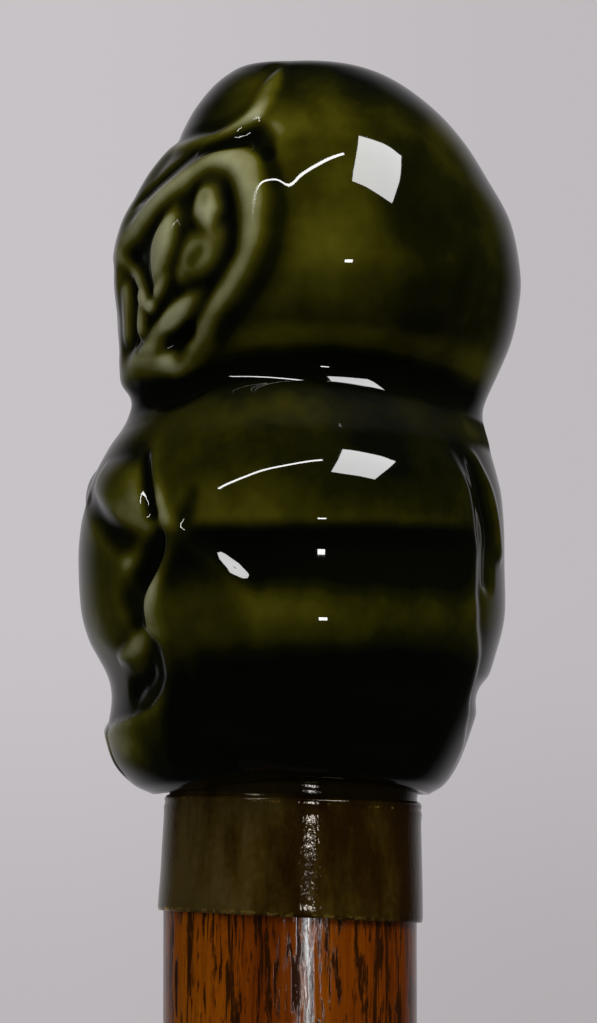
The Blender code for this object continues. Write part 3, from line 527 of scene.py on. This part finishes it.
in_room = (np.abs(radii - ROOM_RADIUS) < ON_SKIN) & (levels > ROOM_LEVELS[0] - 1.0)
straight = ~on_skin & ~in_room
shaped = places.copy()
shaped[straight, 0] = radii[straight] * np.sin(turns[straight])
shaped[straight, 1] = -radii[straight] * np.cos(turns[straight])
shaped[on_skin] = on_figure(turns[on_skin], levels[on_skin])
at_rim = straight & (radii > RECESS_RADIUS - ON_SKIN) & (places[:, 2] < 0.001)
shaped[at_rim, 2] += foot_lift(turns[at_rim], 0.0)
shaped[in_room] = on_figure(turns[in_room], levels[in_room], FIGURE_WALL)
form.verts.ensure_lookup_table()
for spot, place in zip(form.verts, shaped):
    spot.co = place
form.normal_update()
turns_deg = np.degrees(turns)
rises = np.where(on_skin, from_map(carving_map, turns_deg, levels) * CARVING_RISE, 0.0)
edge_fade = np.clip(levels / EDGE_LEVEL, 0.0, 1.0)
for spot, rise, whole in zip(form.verts, rises, edge_fade):
    if rise:
        spot.co += spot.normal * rise * whole
bmesh.ops.translate(form, verts=form.verts[:], vec=(0.0, 0.0, figure_z))
figure = add_piece("glazed_figure", form, 70.0)
for name, values in (("pool", pool_and_shade_map), ("dull", dull_map)):
    found = np.where(on_skin, from_map(values, turns_deg, levels), 0.0).astype(np.float32)
    figure.data.attributes.new(name, "FLOAT", "POINT").data.foreach_set("value", found)


class Wire:
    """A node's output, used in sums as if it were a number."""

    def __init__(self, socket):
        self.socket = socket

    def node(self, kind, settings=None, values=None, out=0):
        """Adds a node: its type, its settings, what goes into its sockets, and which output is wanted."""
        tree = self.socket.id_data
        made = tree.nodes.new(kind)
        for name, value in (settings or {}).items():
            if name == "stops":
                ramp = made.color_ramp
                while len(ramp.elements) < len(value):
                    ramp.elements.new(0.5)
                for stop, (place, colour) in zip(ramp.elements, value):
                    stop.position = place
                    stop.color = (*colour, 1.0)
            else:
                setattr(made, name, value)
        for name, value in (values or {}).items():
            if isinstance(value, Wire):
                tree.links.new(value.socket, made.inputs[name])
            else:
                made.inputs[name].default_value = value
        return Wire(made.outputs[out])

    def math(self, operation, first, second=0.0, third=0.0):
        return self.node("ShaderNodeMath", {"operation": operation}, {0: first, 1: second, 2: third})

    def __add__(self, other):
        return self.math("ADD", self, other)

    __radd__ = __add__

    def __sub__(self, other):
        return self.math("SUBTRACT", self, other)

    def __rsub__(self, other):
        return self.math("SUBTRACT", other, self)

    def __mul__(self, other):
        return self.math("MULTIPLY", self, other)

    __rmul__ = __mul__

    def between(self, low, high):
        """Rises smoothly from 0 to 1 between two values."""
        settings = {"interpolation_type": "SMOOTHSTEP"}
        return self.node("ShaderNodeMapRange", settings, {0: self, 1: low, 2: high, 3: 0.0, 4: 1.0})

    def near(self, value, reach):
        """1 where this value lies within reach of the given one, and 0 elsewhere."""
        return self.math("COMPARE", self, value, reach)

    def ramp(self, *stops):
        return self.node("ShaderNodeValToRGB", {"stops": stops}, {0: self})

    def blend(self, first, second):
        """The first colour where this value is 0, the second where it is 1."""
        colours = [c if isinstance(c, Wire) else (*c, 1.0) for c in (first, second)]
        return self.node("ShaderNodeMix", {"data_type": "RGBA"}, {0: self, 6: colours[0], 7: colours[1]}, 2)

    def stretched(self, scale, place=(0.0, 0.0, 0.0), turn=(0.0, 0.0, 0.0)):
        """These coordinates moved, turned and stretched."""
        return self.node("ShaderNodeMapping", {}, {0: self, 1: place, 2: turn, 3: scale})

    def grain(self, scale, detail=3.0, roughness=0.5, warp=0.0):
        """Cloudy noise from 0 to 1 at the given scale per metre."""
        return self.node("ShaderNodeTexNoise", {}, {0: self, 2: scale, 3: detail, 4: roughness, 8: warp})

    def bump(self, depth, strength=1.0):
        """A surface normal from this value taken as a height of the given depth in metres."""
        return self.node("ShaderNodeBump", {}, {"Height": self, "Distance": depth, "Strength": strength})

    def on_points(self, name):
        """A value that is stored on the points of the mesh."""
        return self.node("ShaderNodeAttribute", {"attribute_name": name}, out=2)

    def along(self, way):
        """How far these coordinates lie along a direction."""
        return self.node("ShaderNodeVectorMath", {"operation": "DOT_PRODUCT"}, {0: self, 1: way}, 1)

    def height(self):
        """The Z of these coordinates."""
        return self.node("ShaderNodeSeparateXYZ", {}, {0: self}, 2)


def new_finish(name, **constants):
    """A Principled material with its constant settings, and a wire of Object coordinates."""
    finish = bpy.data.materials.new(name)
    finish.use_nodes = True
    tree = finish.node_tree
    shader = tree.nodes["Principled BSDF"]
    for socket, value in constants.items():
        shader.inputs[socket.replace("_", " ")].default_value = value
    place = tree.nodes.new("ShaderNodeTexCoord").outputs["Object"]
    return finish, Wire(place)


def lay_on(finish, **wires):
    """Links wires to the sockets of a material's shader."""
    shader = finish.node_tree.nodes["Principled BSDF"]
    for socket, wire in wires.items():
        finish.node_tree.links.new(wire.socket, shader.inputs[socket.replace("_", " ")])


glaze, place = new_finish("green_glaze", IOR=1.52)
pool = place.on_points("pool")
dull = place.on_points("dull")
clouds = place.grain(85.0, 4.0, 0.55)
mottle = place.grain(420.0, 5.0, 0.6)
curtains = place.stretched((1.0, 1.0, 0.35)).grain(140.0, 3.0, 0.5)
thickness_and_shade = pool + 0.63 + (clouds - 0.5) * 0.80 + (curtains - 0.5) * 0.34 + (mottle - 0.5) * 0.12
glaze_colour = thickness_and_shade.ramp(
    (0.0, (0.36, 0.355, 0.19)),
    (0.20, (0.205, 0.20, 0.080)),
    (0.40, (0.070, 0.065, 0.0036)),
    (0.62, (0.027, 0.0245, 0.0005)),
    (0.80, (0.0070, 0.0070, 0.0002)),
    (1.0, (0.0016, 0.0019, 0.0003)),
)
dry = (-0.20 - pool).between(0.0, 0.40)
waves = place.grain(130.0, 2.0, 0.5)
lay_on(glaze, Base_Color=glaze_colour, Roughness=0.03 + dry * 0.25, Normal=waves.bump(0.00005, 1.0))
tree = glaze.node_tree
dust = tree.nodes.new("ShaderNodeBsdfPrincipled")
dust.inputs["Roughness"].default_value = 0.75
dust.inputs["Specular IOR Level"].default_value = 0.05
tree.links.new(glaze_colour.socket, dust.inputs["Base Color"])
both = tree.nodes.new("ShaderNodeMixShader")
for socket, source in enumerate((dull.socket, tree.nodes["Principled BSDF"].outputs[0], dust.outputs[0])):
    tree.links.new(source, both.inputs[socket])
tree.links.new(both.outputs[0], tree.nodes["Material Output"].inputs["Surface"])
figure.data.materials.append(glaze)
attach(figure, "cane")
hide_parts("figure_handle")


# Brass collar
# A thin spun sleeve with a beaded top and a plain lower edge, pressed over the joint between the
# figure's neck and the shaft. It went on a little crooked and has browned. It is bright where rubbed,
# and the bright lines at the shoulder and lower edge are painted glints too; its right side carries
# painted shade.

COLLAR_LENGTH = 0.0128
COLLAR_TOP_RADIUS = 0.0118
COLLAR_WALL = 0.0004
COLLAR_LIP_RADIUS = 0.01215
COLLAR_BEAD_HEIGHT = 0.0016
COLLAR_BEAD_STEP = 0.0004
COLLAR_SHOULDER_ROUND = 0.0005
COLLAR_SLEEVE_DROP = 0.0018
COLLAR_FOOT_HEIGHT = 0.0006
COLLAR_STEPS = 12
COLLAR_GRIP = 0.0064
COLLAR_LEAN = math.radians(1.6)
COLLAR_SKEW = math.radians(1.2)
SHAFT_TOP = 0.8414
collar_z = SHAFT_TOP - COLLAR_GRIP

# In the photograph brass and wood darken to the right, and both get painted shade that way. This
# direction points there, level.
SHADE_WAY = (0.16, 0.99, 0.0)


def arc(centre, radius, start_deg, end_deg, steps):
    """Points of a round stretch of a profile."""
    angles = [math.radians(start_deg + (end_deg - start_deg) * k / steps) for k in range(steps + 1)]
    return [(centre[0] + radius * math.cos(a), centre[1] + radius * math.sin(a)) for a in angles]


top = COLLAR_TOP_RADIUS
wall = COLLAR_WALL
shoulder = COLLAR_LENGTH - COLLAR_BEAD_HEIGHT
body = top + COLLAR_BEAD_STEP
lip = COLLAR_LIP_RADIUS + wall
profile = arc((top - wall / 2.0, COLLAR_LENGTH - wall / 2.0), wall / 2.0, 180.0, 0.0, 8)
profile += [
    (top, COLLAR_LENGTH - 0.0009),
    (top - 0.00008, shoulder + 0.00025),
    (top - 0.00004, shoulder + 0.0001),
]
profile += arc(
    (body - COLLAR_SHOULDER_ROUND, shoulder - COLLAR_SHOULDER_ROUND), COLLAR_SHOULDER_ROUND, 80.0, 0.0, 6
)
profile += [
    (body - 0.00006, shoulder - 0.0008),
    (body + 0.00005, shoulder - 0.0012),
    (body + 0.00002, shoulder - COLLAR_SLEEVE_DROP),
]
for k in range(1, COLLAR_STEPS):
    share = k / COLLAR_STEPS
    level = (shoulder - COLLAR_SLEEVE_DROP) * (1.0 - share) + COLLAR_FOOT_HEIGHT * share
    profile.append((body + (lip - body) * share, level))
profile += [
    (lip, 0.0004),
    (lip - 0.00005, 0.00012),
    (lip - 0.00016, 0.0),
    (COLLAR_LIP_RADIUS, 0.0),
    (COLLAR_LIP_RADIUS, 0.0012),
    (COLLAR_LIP_RADIUS - 0.0002, shoulder - 0.0008),
    (top - wall, shoulder - 0.0001),
]
form = turned(profile, 160)
DENT_DEPTH = 0.00006
RIPPLE_DEPTH = 0.000014
CALM_NEAR_SHOULDER = 0.002
for spot in form.verts:
    dent = noise.noise(Vector((spot.co.x * 90.0, spot.co.y * 90.0, spot.co.z * 150.0)))
    ripple = noise.noise(Vector((spot.co.x * 320.0, spot.co.y * 320.0, spot.co.z * 420.0 + 7.0)))
    push = dent * DENT_DEPTH + ripple * RIPPLE_DEPTH
    push *= min(1.0, max(0.0, (shoulder - spot.co.z) / CALM_NEAR_SHOULDER))
    radius = spot.co.xy.length
    spot.co.x *= 1.0 + push / radius
    spot.co.y *= 1.0 + push / radius
    spot.co.z -= spot.co.y * math.tan(COLLAR_SKEW) * (1.0 - spot.co.z / COLLAR_LENGTH)
lean = Matrix.Rotation(-COLLAR_LEAN, 3, "X")
bmesh.ops.rotate(form, verts=form.verts[:], cent=(0.0, 0.0, 0.0), matrix=lean)
bmesh.ops.translate(form, verts=form.verts[:], vec=(0.0, 0.0, collar_z))
collar = add_piece("brass_collar", form)
spots = np.array([v.co for v in collar.data.vertices])
above = spots[:, 2] - collar_z + spots[:, 1] * (math.tan(COLLAR_SKEW) + math.tan(COLLAR_LEAN))
collar.data.attributes.new("above_edge", "FLOAT", "POINT").data.foreach_set("value", above.astype(np.float32))

brass, place = new_finish("aged_brass", IOR=1.55)
above_edge = place.on_points("above_edge")
# shade_side paints shade: the brass darkens towards SHADE_WAY.
shade_side = place.along(SHADE_WAY).between(-0.007, 0.012)
stains = place.stretched((1.0, 1.0, 0.30)).grain(230.0, 5.0, 0.62)
patches = place.stretched((1.0, 1.0, 0.60)).grain(75.0, 3.0, 0.5)
specks = place.grain(1500.0, 3.0, 0.6)
# The bright rubbed lines at the shoulder and along the lower edge are painted glints, laid where highlights
# fall and kept off the shaded side; partly real wear.
wear_and_glint_noise = stains * 0.5 + specks * 0.5
shoulder_line = above_edge.near(0.0106, 0.0001)
band = above_edge.between(0.0110, 0.0114)
rubbed_and_glint = (0.00035 - above_edge).between(-0.0001, 0.0002) * wear_and_glint_noise.between(0.50, 0.58) * (1.0 - shade_side)
rubbed_and_glint = rubbed_and_glint + shoulder_line * wear_and_glint_noise.between(0.53, 0.60)
# The tarnish colour also carries painted shade towards SHADE_WAY, and a darker beaded top band.
tarnish_and_shade = (stains * 1.1 + patches * 0.6 + specks * 0.2 - 0.26 - shade_side * 0.36).ramp(
    (0.34, (0.020, 0.0080, 0.0003)),
    (0.48, (0.036, 0.0190, 0.0012)),
    (0.62, (0.066, 0.0400, 0.0050)),
    (0.78, (0.110, 0.0720, 0.0180)),
)
tarnish_and_shade = (patches.between(0.48, 0.62) * (0.5 - shade_side * 0.5)).blend(tarnish_and_shade, (0.042, 0.036, 0.0030))
tarnish_and_shade = (band * 0.8).blend(tarnish_and_shade, (0.014, 0.009, 0.0010))
brass_colour = rubbed_and_glint.blend(tarnish_and_shade, (0.62, 0.38, 0.08))
scratches = place.stretched((1.0, 1.0, 0.55)).grain(2600.0, 3.0, 0.6)
lay_on(
    brass,
    Base_Color=brass_colour,
    Metallic=0.30 + rubbed_and_glint * 0.6,
    Roughness=0.03 + specks * 0.06,
    Normal=(scratches * 0.8 + stains * 0.4).bump(0.00003, 1.0),
)
collar.data.materials.append(brass)
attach(collar, "cane")
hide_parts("collar")


# Shaft
# A straight tapered stick of orange-brown hardwood with long dark pores, turned, stained and
# varnished. Its head is turned down into the collar and its foot into the brass cup.

SHAFT_RADIUS = 0.0120
SHAFT_FOOT_RADIUS = 0.0100
SHAFT_FOOT = 0.0129
COLLAR_SEAT_RADIUS = 0.01114
CUP_TOP = 0.0572
CUP_SEAT_RADIUS = 0.0089
STUD_BORE_RADIUS = 0.0043
STUD_BORE_FLOOR = 0.8091
SEAT_GAP = 0.0003
HEAD_BEVEL = 0.0004
COLLAR_LIP_HEIGHT = 0.0016
SHOULDER_SLOPE = 0.0005
TAPER_STEPS = 60
TAIL_ABOVE_CUP = 0.0023
FOOT_CHAMFER = 0.0008

seat_bottom = collar_z + COLLAR_LIP_HEIGHT
shaft_profile = [
    (0.0, STUD_BORE_FLOOR),
    (STUD_BORE_RADIUS, STUD_BORE_FLOOR),
    (STUD_BORE_RADIUS, SHAFT_TOP),
    (COLLAR_SEAT_RADIUS - HEAD_BEVEL, SHAFT_TOP),
    (COLLAR_SEAT_RADIUS, SHAFT_TOP - HEAD_BEVEL),
    (COLLAR_SEAT_RADIUS, seat_bottom),
    (SHAFT_RADIUS, seat_bottom - SHOULDER_SLOPE),
]
shaft_head = collar_z - COLLAR_LENGTH
shaft_tail = CUP_TOP + TAIL_ABOVE_CUP
for k in range(TAPER_STEPS + 1):
    share = k / TAPER_STEPS
    radius = SHAFT_RADIUS + (SHAFT_FOOT_RADIUS - SHAFT_RADIUS) * share
    shaft_profile.append((radius, shaft_head + (shaft_tail - shaft_head) * share))
shaft_profile += [
    (SHAFT_FOOT_RADIUS - SEAT_GAP, CUP_TOP + SEAT_GAP),
    (CUP_SEAT_RADIUS, CUP_TOP + SEAT_GAP),
    (CUP_SEAT_RADIUS, SHAFT_FOOT + FOOT_CHAMFER),
    (CUP_SEAT_RADIUS - FOOT_CHAMFER, SHAFT_FOOT),
    (0.0, SHAFT_FOOT),
]
form = turned(shaft_profile, 96)
shaft = add_piece("hardwood_shaft", form)

wood, place = new_finish("lacquered_hardwood", IOR=1.5)
# Painted shade: the wood's ground colour darkens towards SHADE_WAY, and its pores crowd a little more that
# way.
shade_side = place.along(SHADE_WAY).between(-0.010, 0.010)
figure_bands = place.stretched((1.0, 1.0, 0.06)).grain(170.0, 4.0, 0.6, 0.3)
fibres = place.stretched((1.0, 1.0, 0.05)).grain(2600.0, 4.0, 0.65)
flecks = place.stretched((1.0, 1.0, 0.12)).grain(1700.0, 5.0, 0.68, 0.2)
long_flecks = place.stretched((1.0, 1.0, 0.06), (0.3, 0.1, 0.2)).grain(1000.0, 5.0, 0.68, 0.2)
crowding = place.stretched((1.0, 1.0, 0.22)).grain(130.0, 3.0, 0.5)
ground_and_shade = (figure_bands + (fibres - 0.5) * 0.40 + 0.07 - shade_side * 0.14).ramp(
    (0.30, (0.085, 0.0130, 0.0002)),
    (0.43, (0.190, 0.0370, 0.0003)),
    (0.56, (0.310, 0.0700, 0.0005)),
    (0.70, (0.410, 0.1100, 0.0016)),
)
ground_and_shade = (shade_side * 0.62).blend(ground_and_shade, (0.075, 0.0130, 0.0002))
pore_crowd_and_shade = (crowding - 0.5) * 0.20 + shade_side * 0.03
pores = (flecks + pore_crowd_and_shade).between(0.525, 0.60)
pores = pores + (1.0 - pores) * (long_flecks + pore_crowd_and_shade).between(0.53, 0.62)
wood_colour = (pores * 0.92).blend(ground_and_shade, (0.014, 0.0045, 0.0004))
ripple = place.stretched((1.0, 1.0, 0.5)).grain(1700.0, 3.0, 0.6)
lay_on(
    wood,
    Base_Color=wood_colour,
    Roughness=0.05 + pores * 0.08,
    Normal=(ripple * 0.8 - pores * 0.3).bump(0.00002, 0.8),
)
shaft.data.materials.append(wood)
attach(shaft, "cane")
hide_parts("shaft")


# Stud, nut and cement
# A zinc-plated stud is screwed into the head of the shaft. Its nut and the cement round it are what
# hold the hollow figure on. They are inside the cane and out of sight.

cement, place = new_finish("bedding_cement", Roughness=0.92)
grit = place.grain(900.0, 5.0, 0.65)
lay_on(
    cement,
    Base_Color=(grit * 0.6 + place.grain(160.0, 2.0, 0.5) * 0.5).ramp(
        (0.40, (0.42, 0.40, 0.36)), (0.75, (0.62, 0.60, 0.55))
    ),
    Normal=grit.bump(0.0002, 0.7),
)
steel, place = new_finish("zinced_steel", Metallic=1.0)
spangle = place.grain(700.0, 3.0, 0.55)
lay_on(
    steel,
    Base_Color=spangle.ramp((0.35, (0.46, 0.47, 0.49)), (0.70, (0.62, 0.63, 0.65))),
    Roughness=0.30 + spangle * 0.16,
)
for node, finish in (
    ("handle_core", cement), ("threaded_stud", steel), ("anchor_nut", steel), ("foot_washer", steel)
):
    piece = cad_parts[node]
    piece.data.materials.clear()
    piece.data.materials.append(finish)


# Brass cup
# A drawn brass cup with a rolled bead at its mouth, driven on over the turned-down foot of the shaft
# and held by a round-headed nail from each side.

CUP_BOTTOM = 0.0112
CUP_RADIUS = 0.0100
CUP_INNER_RADIUS = 0.0092
CUP_FLOOR = 0.0014
CUP_BEAD_RISE = 0.0005
CUP_BEAD_REACH = 0.001
CUP_BEAD_STEPS = 8

cup_profile = [
    (0.0, CUP_BOTTOM + CUP_FLOOR),
    (CUP_INNER_RADIUS, CUP_BOTTOM + CUP_FLOOR),
    (CUP_INNER_RADIUS, CUP_TOP),
]
for k in range(CUP_BEAD_STEPS + 1):
    angle = math.pi * k / CUP_BEAD_STEPS
    level = CUP_TOP - CUP_BEAD_REACH + CUP_BEAD_REACH * math.cos(angle)
    cup_profile.append((CUP_RADIUS + CUP_BEAD_RISE * math.sin(angle), level))
cup_profile += [
    (CUP_RADIUS, CUP_TOP - 0.0022),
    (CUP_RADIUS, CUP_BOTTOM + 0.0012),
    (CUP_RADIUS - 0.0004, CUP_BOTTOM + 0.0003),
    (CUP_RADIUS - 0.0012, CUP_BOTTOM),
    (0.0, CUP_BOTTOM),
]
cup = add_piece("brass_cup", turned(cup_profile, 96))
cup_brass, place = new_finish("tip_brass", Metallic=1.0)
scuffs = place.stretched((1.0, 1.0, 6.0), turn=(0.3, 0.2, 0.0)).grain(420.0, 4.0, 0.6)
bloom = place.grain(130.0, 4.0, 0.6)
cup_colour = (bloom * 0.8 + scuffs * 0.3).ramp(
    (0.42, (0.16, 0.11, 0.035)), (0.58, (0.33, 0.23, 0.075)), (0.76, (0.50, 0.36, 0.13))
)
lay_on(
    cup_brass,
    Base_Color=cup_colour,
    Roughness=0.22 + bloom * 0.26,
    Normal=scuffs.bump(0.00002, 0.4),
)
cup.data.materials.append(cup_brass)
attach(cup, "cane")
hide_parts("tip_ferrule")

NAIL_HEAD_RADIUS = 0.0018
NAIL_HEAD_RISE = 0.0008
NAIL_SHANK_RADIUS = 0.0007
NAIL_LENGTH = 0.0065
NAIL_POINT = 0.0016
NAIL_HEAD_EDGE = 0.25
for name, side in (("left", 1.0), ("right", -1.0)):
    base = CUP_RADIUS + SEAT_GAP
    low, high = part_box(f"ferrule_nail_{name}")
    nail_profile = [
        (
            NAIL_HEAD_RADIUS * math.sin(angle),
            base + NAIL_HEAD_RISE * (NAIL_HEAD_EDGE + (1.0 - NAIL_HEAD_EDGE) * math.cos(angle)),
        )
        for angle in np.linspace(0.0, math.pi / 2.0, 9)
    ]
    nail_profile += [
        (NAIL_HEAD_RADIUS, base),
        (NAIL_SHANK_RADIUS, base),
        (NAIL_SHANK_RADIUS, base - NAIL_LENGTH + NAIL_POINT),
        (0.0, base - NAIL_LENGTH),
    ]
    form = turned(nail_profile, 32)
    turn = Matrix.Rotation(side * math.pi / 2.0, 3, "Y")
    bmesh.ops.rotate(form, verts=form.verts[:], cent=(0.0, 0.0, 0.0), matrix=turn)
    bmesh.ops.translate(form, verts=form.verts[:], vec=(0.0, 0.0, (low[2] + high[2]) / 2.0))
    nail = add_piece(f"cup_nail_{name}", form)
    nail.data.materials.append(cup_brass)
    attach(nail, "cane")
    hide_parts(f"ferrule_nail_{name}")


# Rubber foot
# A moulded black rubber foot with three grip ribs, a flared base and ring treads, pushed on over the
# brass cup. A steel washer in its socket keeps the cup from cutting through.

FOOT_HEIGHT = 0.044
FOOT_BASE_RADIUS = 0.0170
FOOT_BASE_HEIGHT = 0.0075
FOOT_SOCKET_RADIUS = 0.0103
FOOT_MOUTH_RADIUS = 0.0130
FOOT_FLOOR = 0.0090
FOOT_MOUTH_CHAMFER = 0.0006
FOOT_MOUTH_ROUND = 0.0007
FOOT_FLARE_BEND = 2.2
FOOT_FLARE_STEPS = 12
FOOT_BASE_ROUND = 0.0010
SEAM_DEPTH = 0.00025
RIB_START = 0.0040
RIB_RISE = 0.0008
RIB_HEIGHT = 0.0030
RIB_PITCH = 0.0048
RIB_COUNT = 3
TREAD_DEPTH = 0.0014
TREAD_LAND = 0.0018
TREAD_GROOVE = 0.0016
TREAD_BEVEL = 0.0003
TREAD_PAD_RADIUS = 0.0062
TREAD_LEAST_LAND = 0.00036

foot_profile = [
    (0.0, FOOT_FLOOR),
    (FOOT_SOCKET_RADIUS, FOOT_FLOOR),
    (FOOT_SOCKET_RADIUS, FOOT_HEIGHT - FOOT_MOUTH_CHAMFER),
    (FOOT_SOCKET_RADIUS + FOOT_MOUTH_CHAMFER, FOOT_HEIGHT),
]
foot_profile += arc(
    (FOOT_MOUTH_RADIUS - FOOT_MOUTH_ROUND, FOOT_HEIGHT - FOOT_MOUTH_ROUND), FOOT_MOUTH_ROUND, 90.0, 0.0, 5
)
for k in range(RIB_COUNT):
    rib_top = FOOT_HEIGHT - RIB_START - k * RIB_PITCH
    for share in np.linspace(0.0, 2.0, 13):
        radius = FOOT_MOUTH_RADIUS + RIB_RISE * fade(min(share, 2.0 - share))
        foot_profile.append((radius, rib_top - RIB_HEIGHT / 2.0 * share))
rib_end = FOOT_HEIGHT - RIB_START - (RIB_COUNT - 1) * RIB_PITCH - RIB_HEIGHT
for k in range(1, FOOT_FLARE_STEPS + 1):
    share = k / FOOT_FLARE_STEPS
    radius = FOOT_MOUTH_RADIUS + (FOOT_BASE_RADIUS - FOOT_MOUTH_RADIUS) * share**FOOT_FLARE_BEND
    foot_profile.append((radius, rib_end + (FOOT_BASE_HEIGHT - rib_end) * share))
foot_profile += [
    (FOOT_BASE_RADIUS, 0.0056),
    (FOOT_BASE_RADIUS - SEAM_DEPTH, 0.0053),
    (FOOT_BASE_RADIUS - SEAM_DEPTH, 0.0049),
    (FOOT_BASE_RADIUS, 0.0046),
]
foot_profile += arc((FOOT_BASE_RADIUS - FOOT_BASE_ROUND, FOOT_BASE_ROUND), FOOT_BASE_ROUND, 0.0, -90.0, 5)
outer = FOOT_BASE_RADIUS - FOOT_BASE_ROUND - TREAD_LAND
while outer - TREAD_GROOVE > TREAD_PAD_RADIUS + TREAD_LEAST_LAND:
    inner = max(outer - TREAD_GROOVE, TREAD_PAD_RADIUS)
    foot_profile += [
        (outer, 0.0),
        (outer - TREAD_BEVEL, TREAD_DEPTH),
        (inner + TREAD_BEVEL, TREAD_DEPTH),
        (inner, 0.0),
    ]
    outer = inner - TREAD_LAND
foot_profile += [(0.0, 0.0)]
foot = add_piece("rubber_foot_cover", turned([(float(r), float(z)) for r, z in foot_profile], 96), 30.0)
rubber, place = new_finish("foot_rubber", Specular_IOR_Level=0.4)
dust = place.grain(260.0, 5.0, 0.65)
skin = place.grain(2400.0, 3.0, 0.6)
soiled = (0.012 - place.height()).between(-0.004, 0.011) * dust.between(0.38, 0.62)
rubber_colour = soiled.blend(dust.blend((0.020, 0.020, 0.020), (0.040, 0.039, 0.037)), (0.13, 0.12, 0.10))
lay_on(
    rubber,
    Base_Color=rubber_colour,
    Roughness=0.62 + soiled * 0.25,
    Normal=(skin * 0.5 + dust * 0.5).bump(0.00012, 0.5),
)
foot.data.materials.append(rubber)
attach(foot, "foot")
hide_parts("rubber_foot")


# Studio
# A pale floor and backdrop, one softbox, one long tube lamp, one small bar lamp and a low even fill.
# The camera looks at the figure's left side from a little in front, as in the photograph.

VIEW_TURN = math.radians(81.0)
FIGURE_MIDDLE = 0.0384
LAMP_DISTANCE = 1.2
SOFTBOX_WIDTH = 0.46
SOFTBOX_HEIGHT = 0.64
SOFTBOX_RADIANCE = 13.0
TUBE_WIDTH = 0.035
TUBE_RADIANCE = 22.0
BAR_WIDTH = 0.09
BAR_HEIGHT = 0.10
BAR_RADIANCE = 26.0
FLOOR_RADIUS = 0.22
CAMERA_LENS = 185.4
CAMERA_DISTANCE = 0.5
CAMERA_HEIGHT = 0.006
TARGET_SHIFT = 0.0008
to_right = Vector((math.cos(VIEW_TURN), math.sin(VIEW_TURN), 0.0))
to_camera = Vector((math.sin(VIEW_TURN), -math.cos(VIEW_TURN), 0.0))
upward = Vector((0.0, 0.0, 1.0))
middle = Vector((0.0, 0.0, collar_z + FIGURE_MIDDLE))


def lamp(name, centre, edge, length, width, radiance):
    """A rectangular lamp that faces the figure, with its long side along an edge direction."""
    light = bpy.data.lights.new(name, "AREA")
    light.shape = "RECTANGLE"
    light.size = length
    light.size_y = width
    light.energy = radiance * math.pi * length * width
    back = (centre - middle).normalized()
    side = (edge - back * edge.dot(back)).normalized()
    turn = Matrix((side, back.cross(side), back)).transposed()
    holder = bpy.data.objects.new(name, light)
    holder.matrix_world = Matrix.Translation(centre) @ turn.to_4x4()
    holder.visible_camera = False
    bpy.context.scene.collection.objects.link(holder)
    return holder


def towards(right, up, front):
    """A direction from the figure given by its shares to the right, up and to the camera."""
    return (to_right * right + upward * up + to_camera * front).normalized()


softbox_place = middle + towards(0.48, 0.785, 0.394) * LAMP_DISTANCE
lamp("softbox", softbox_place, to_right, SOFTBOX_WIDTH, SOFTBOX_HEIGHT, SOFTBOX_RADIANCE)
tube_start = middle + towards(0.197, 0.885, 0.42) * LAMP_DISTANCE
tube_end = middle + towards(-0.59, 0.434, 0.68) * LAMP_DISTANCE
tube_run = tube_end - tube_start
lamp("tube", (tube_start + tube_end) / 2.0, tube_run, tube_run.length, TUBE_WIDTH, TUBE_RADIANCE)
bar_place = middle + towards(0.27, -0.044, 0.96) * LAMP_DISTANCE
lamp("bar", bar_place, to_right, BAR_WIDTH, BAR_HEIGHT, BAR_RADIANCE)

stage_form = bmesh.new()
bmesh.ops.create_circle(stage_form, cap_ends=True, segments=96, radius=FLOOR_RADIUS)
floor = add_piece("floor", stage_form)
floor_paint, place = new_finish("floor_paint", Roughness=0.8)
in_mirror = place.node("ShaderNodeLightPath", out=3)
lay_on(floor_paint, Base_Color=in_mirror.blend((0.58, 0.55, 0.57), (0.03, 0.03, 0.03)))
floor.data.materials.append(floor_paint)

world = bpy.data.worlds.new("studio")
bpy.context.scene.world = world
world.use_nodes = True
sky = world.node_tree
air = sky.nodes["Background"]
ray = sky.nodes.new("ShaderNodeLightPath")
direction = Wire(sky.nodes.new("ShaderNodeTexCoord").outputs["Generated"])
behind = direction.along(tuple(-to_camera))
for_camera = Wire(ray.outputs["Is Camera Ray"])
for_mirror = Wire(ray.outputs["Is Glossy Ray"])
across = direction.along(tuple(to_right))
shaded = across.between(-0.05, 0.055) * 0.4 + (0.05 - direction.height()).between(0.0, 0.085) * 0.6
backdrop_colour = shaded.blend((0.575, 0.545, 0.565), (0.445, 0.418, 0.434))
mirror_colour = behind.between(0.55, 0.98).blend((0.012, 0.013, 0.014), (0.36, 0.345, 0.36))
fill_colour = (0.26, 0.26, 0.27)
light_colour = for_mirror.blend(fill_colour, mirror_colour)
light_colour = for_camera.blend(light_colour, backdrop_colour)
sky.links.new(light_colour.socket, air.inputs["Color"])
air.inputs["Strength"].default_value = 1.0

camera = bpy.data.objects.new("camera", bpy.data.cameras.new("camera"))
bpy.context.scene.collection.objects.link(camera)
camera.data.sensor_fit = "VERTICAL"
camera.data.sensor_height = 36.0
camera.data.lens = CAMERA_LENS
target = middle + to_right * TARGET_SHIFT
eye = target + to_camera * CAMERA_DISTANCE
eye.z = collar_z + CAMERA_HEIGHT
camera.location = eye
camera.rotation_euler = (target - eye).to_track_quat("-Z", "Y").to_euler()
bpy.context.scene.camera = camera
bpy.context.scene.view_settings.view_transform = "Standard"
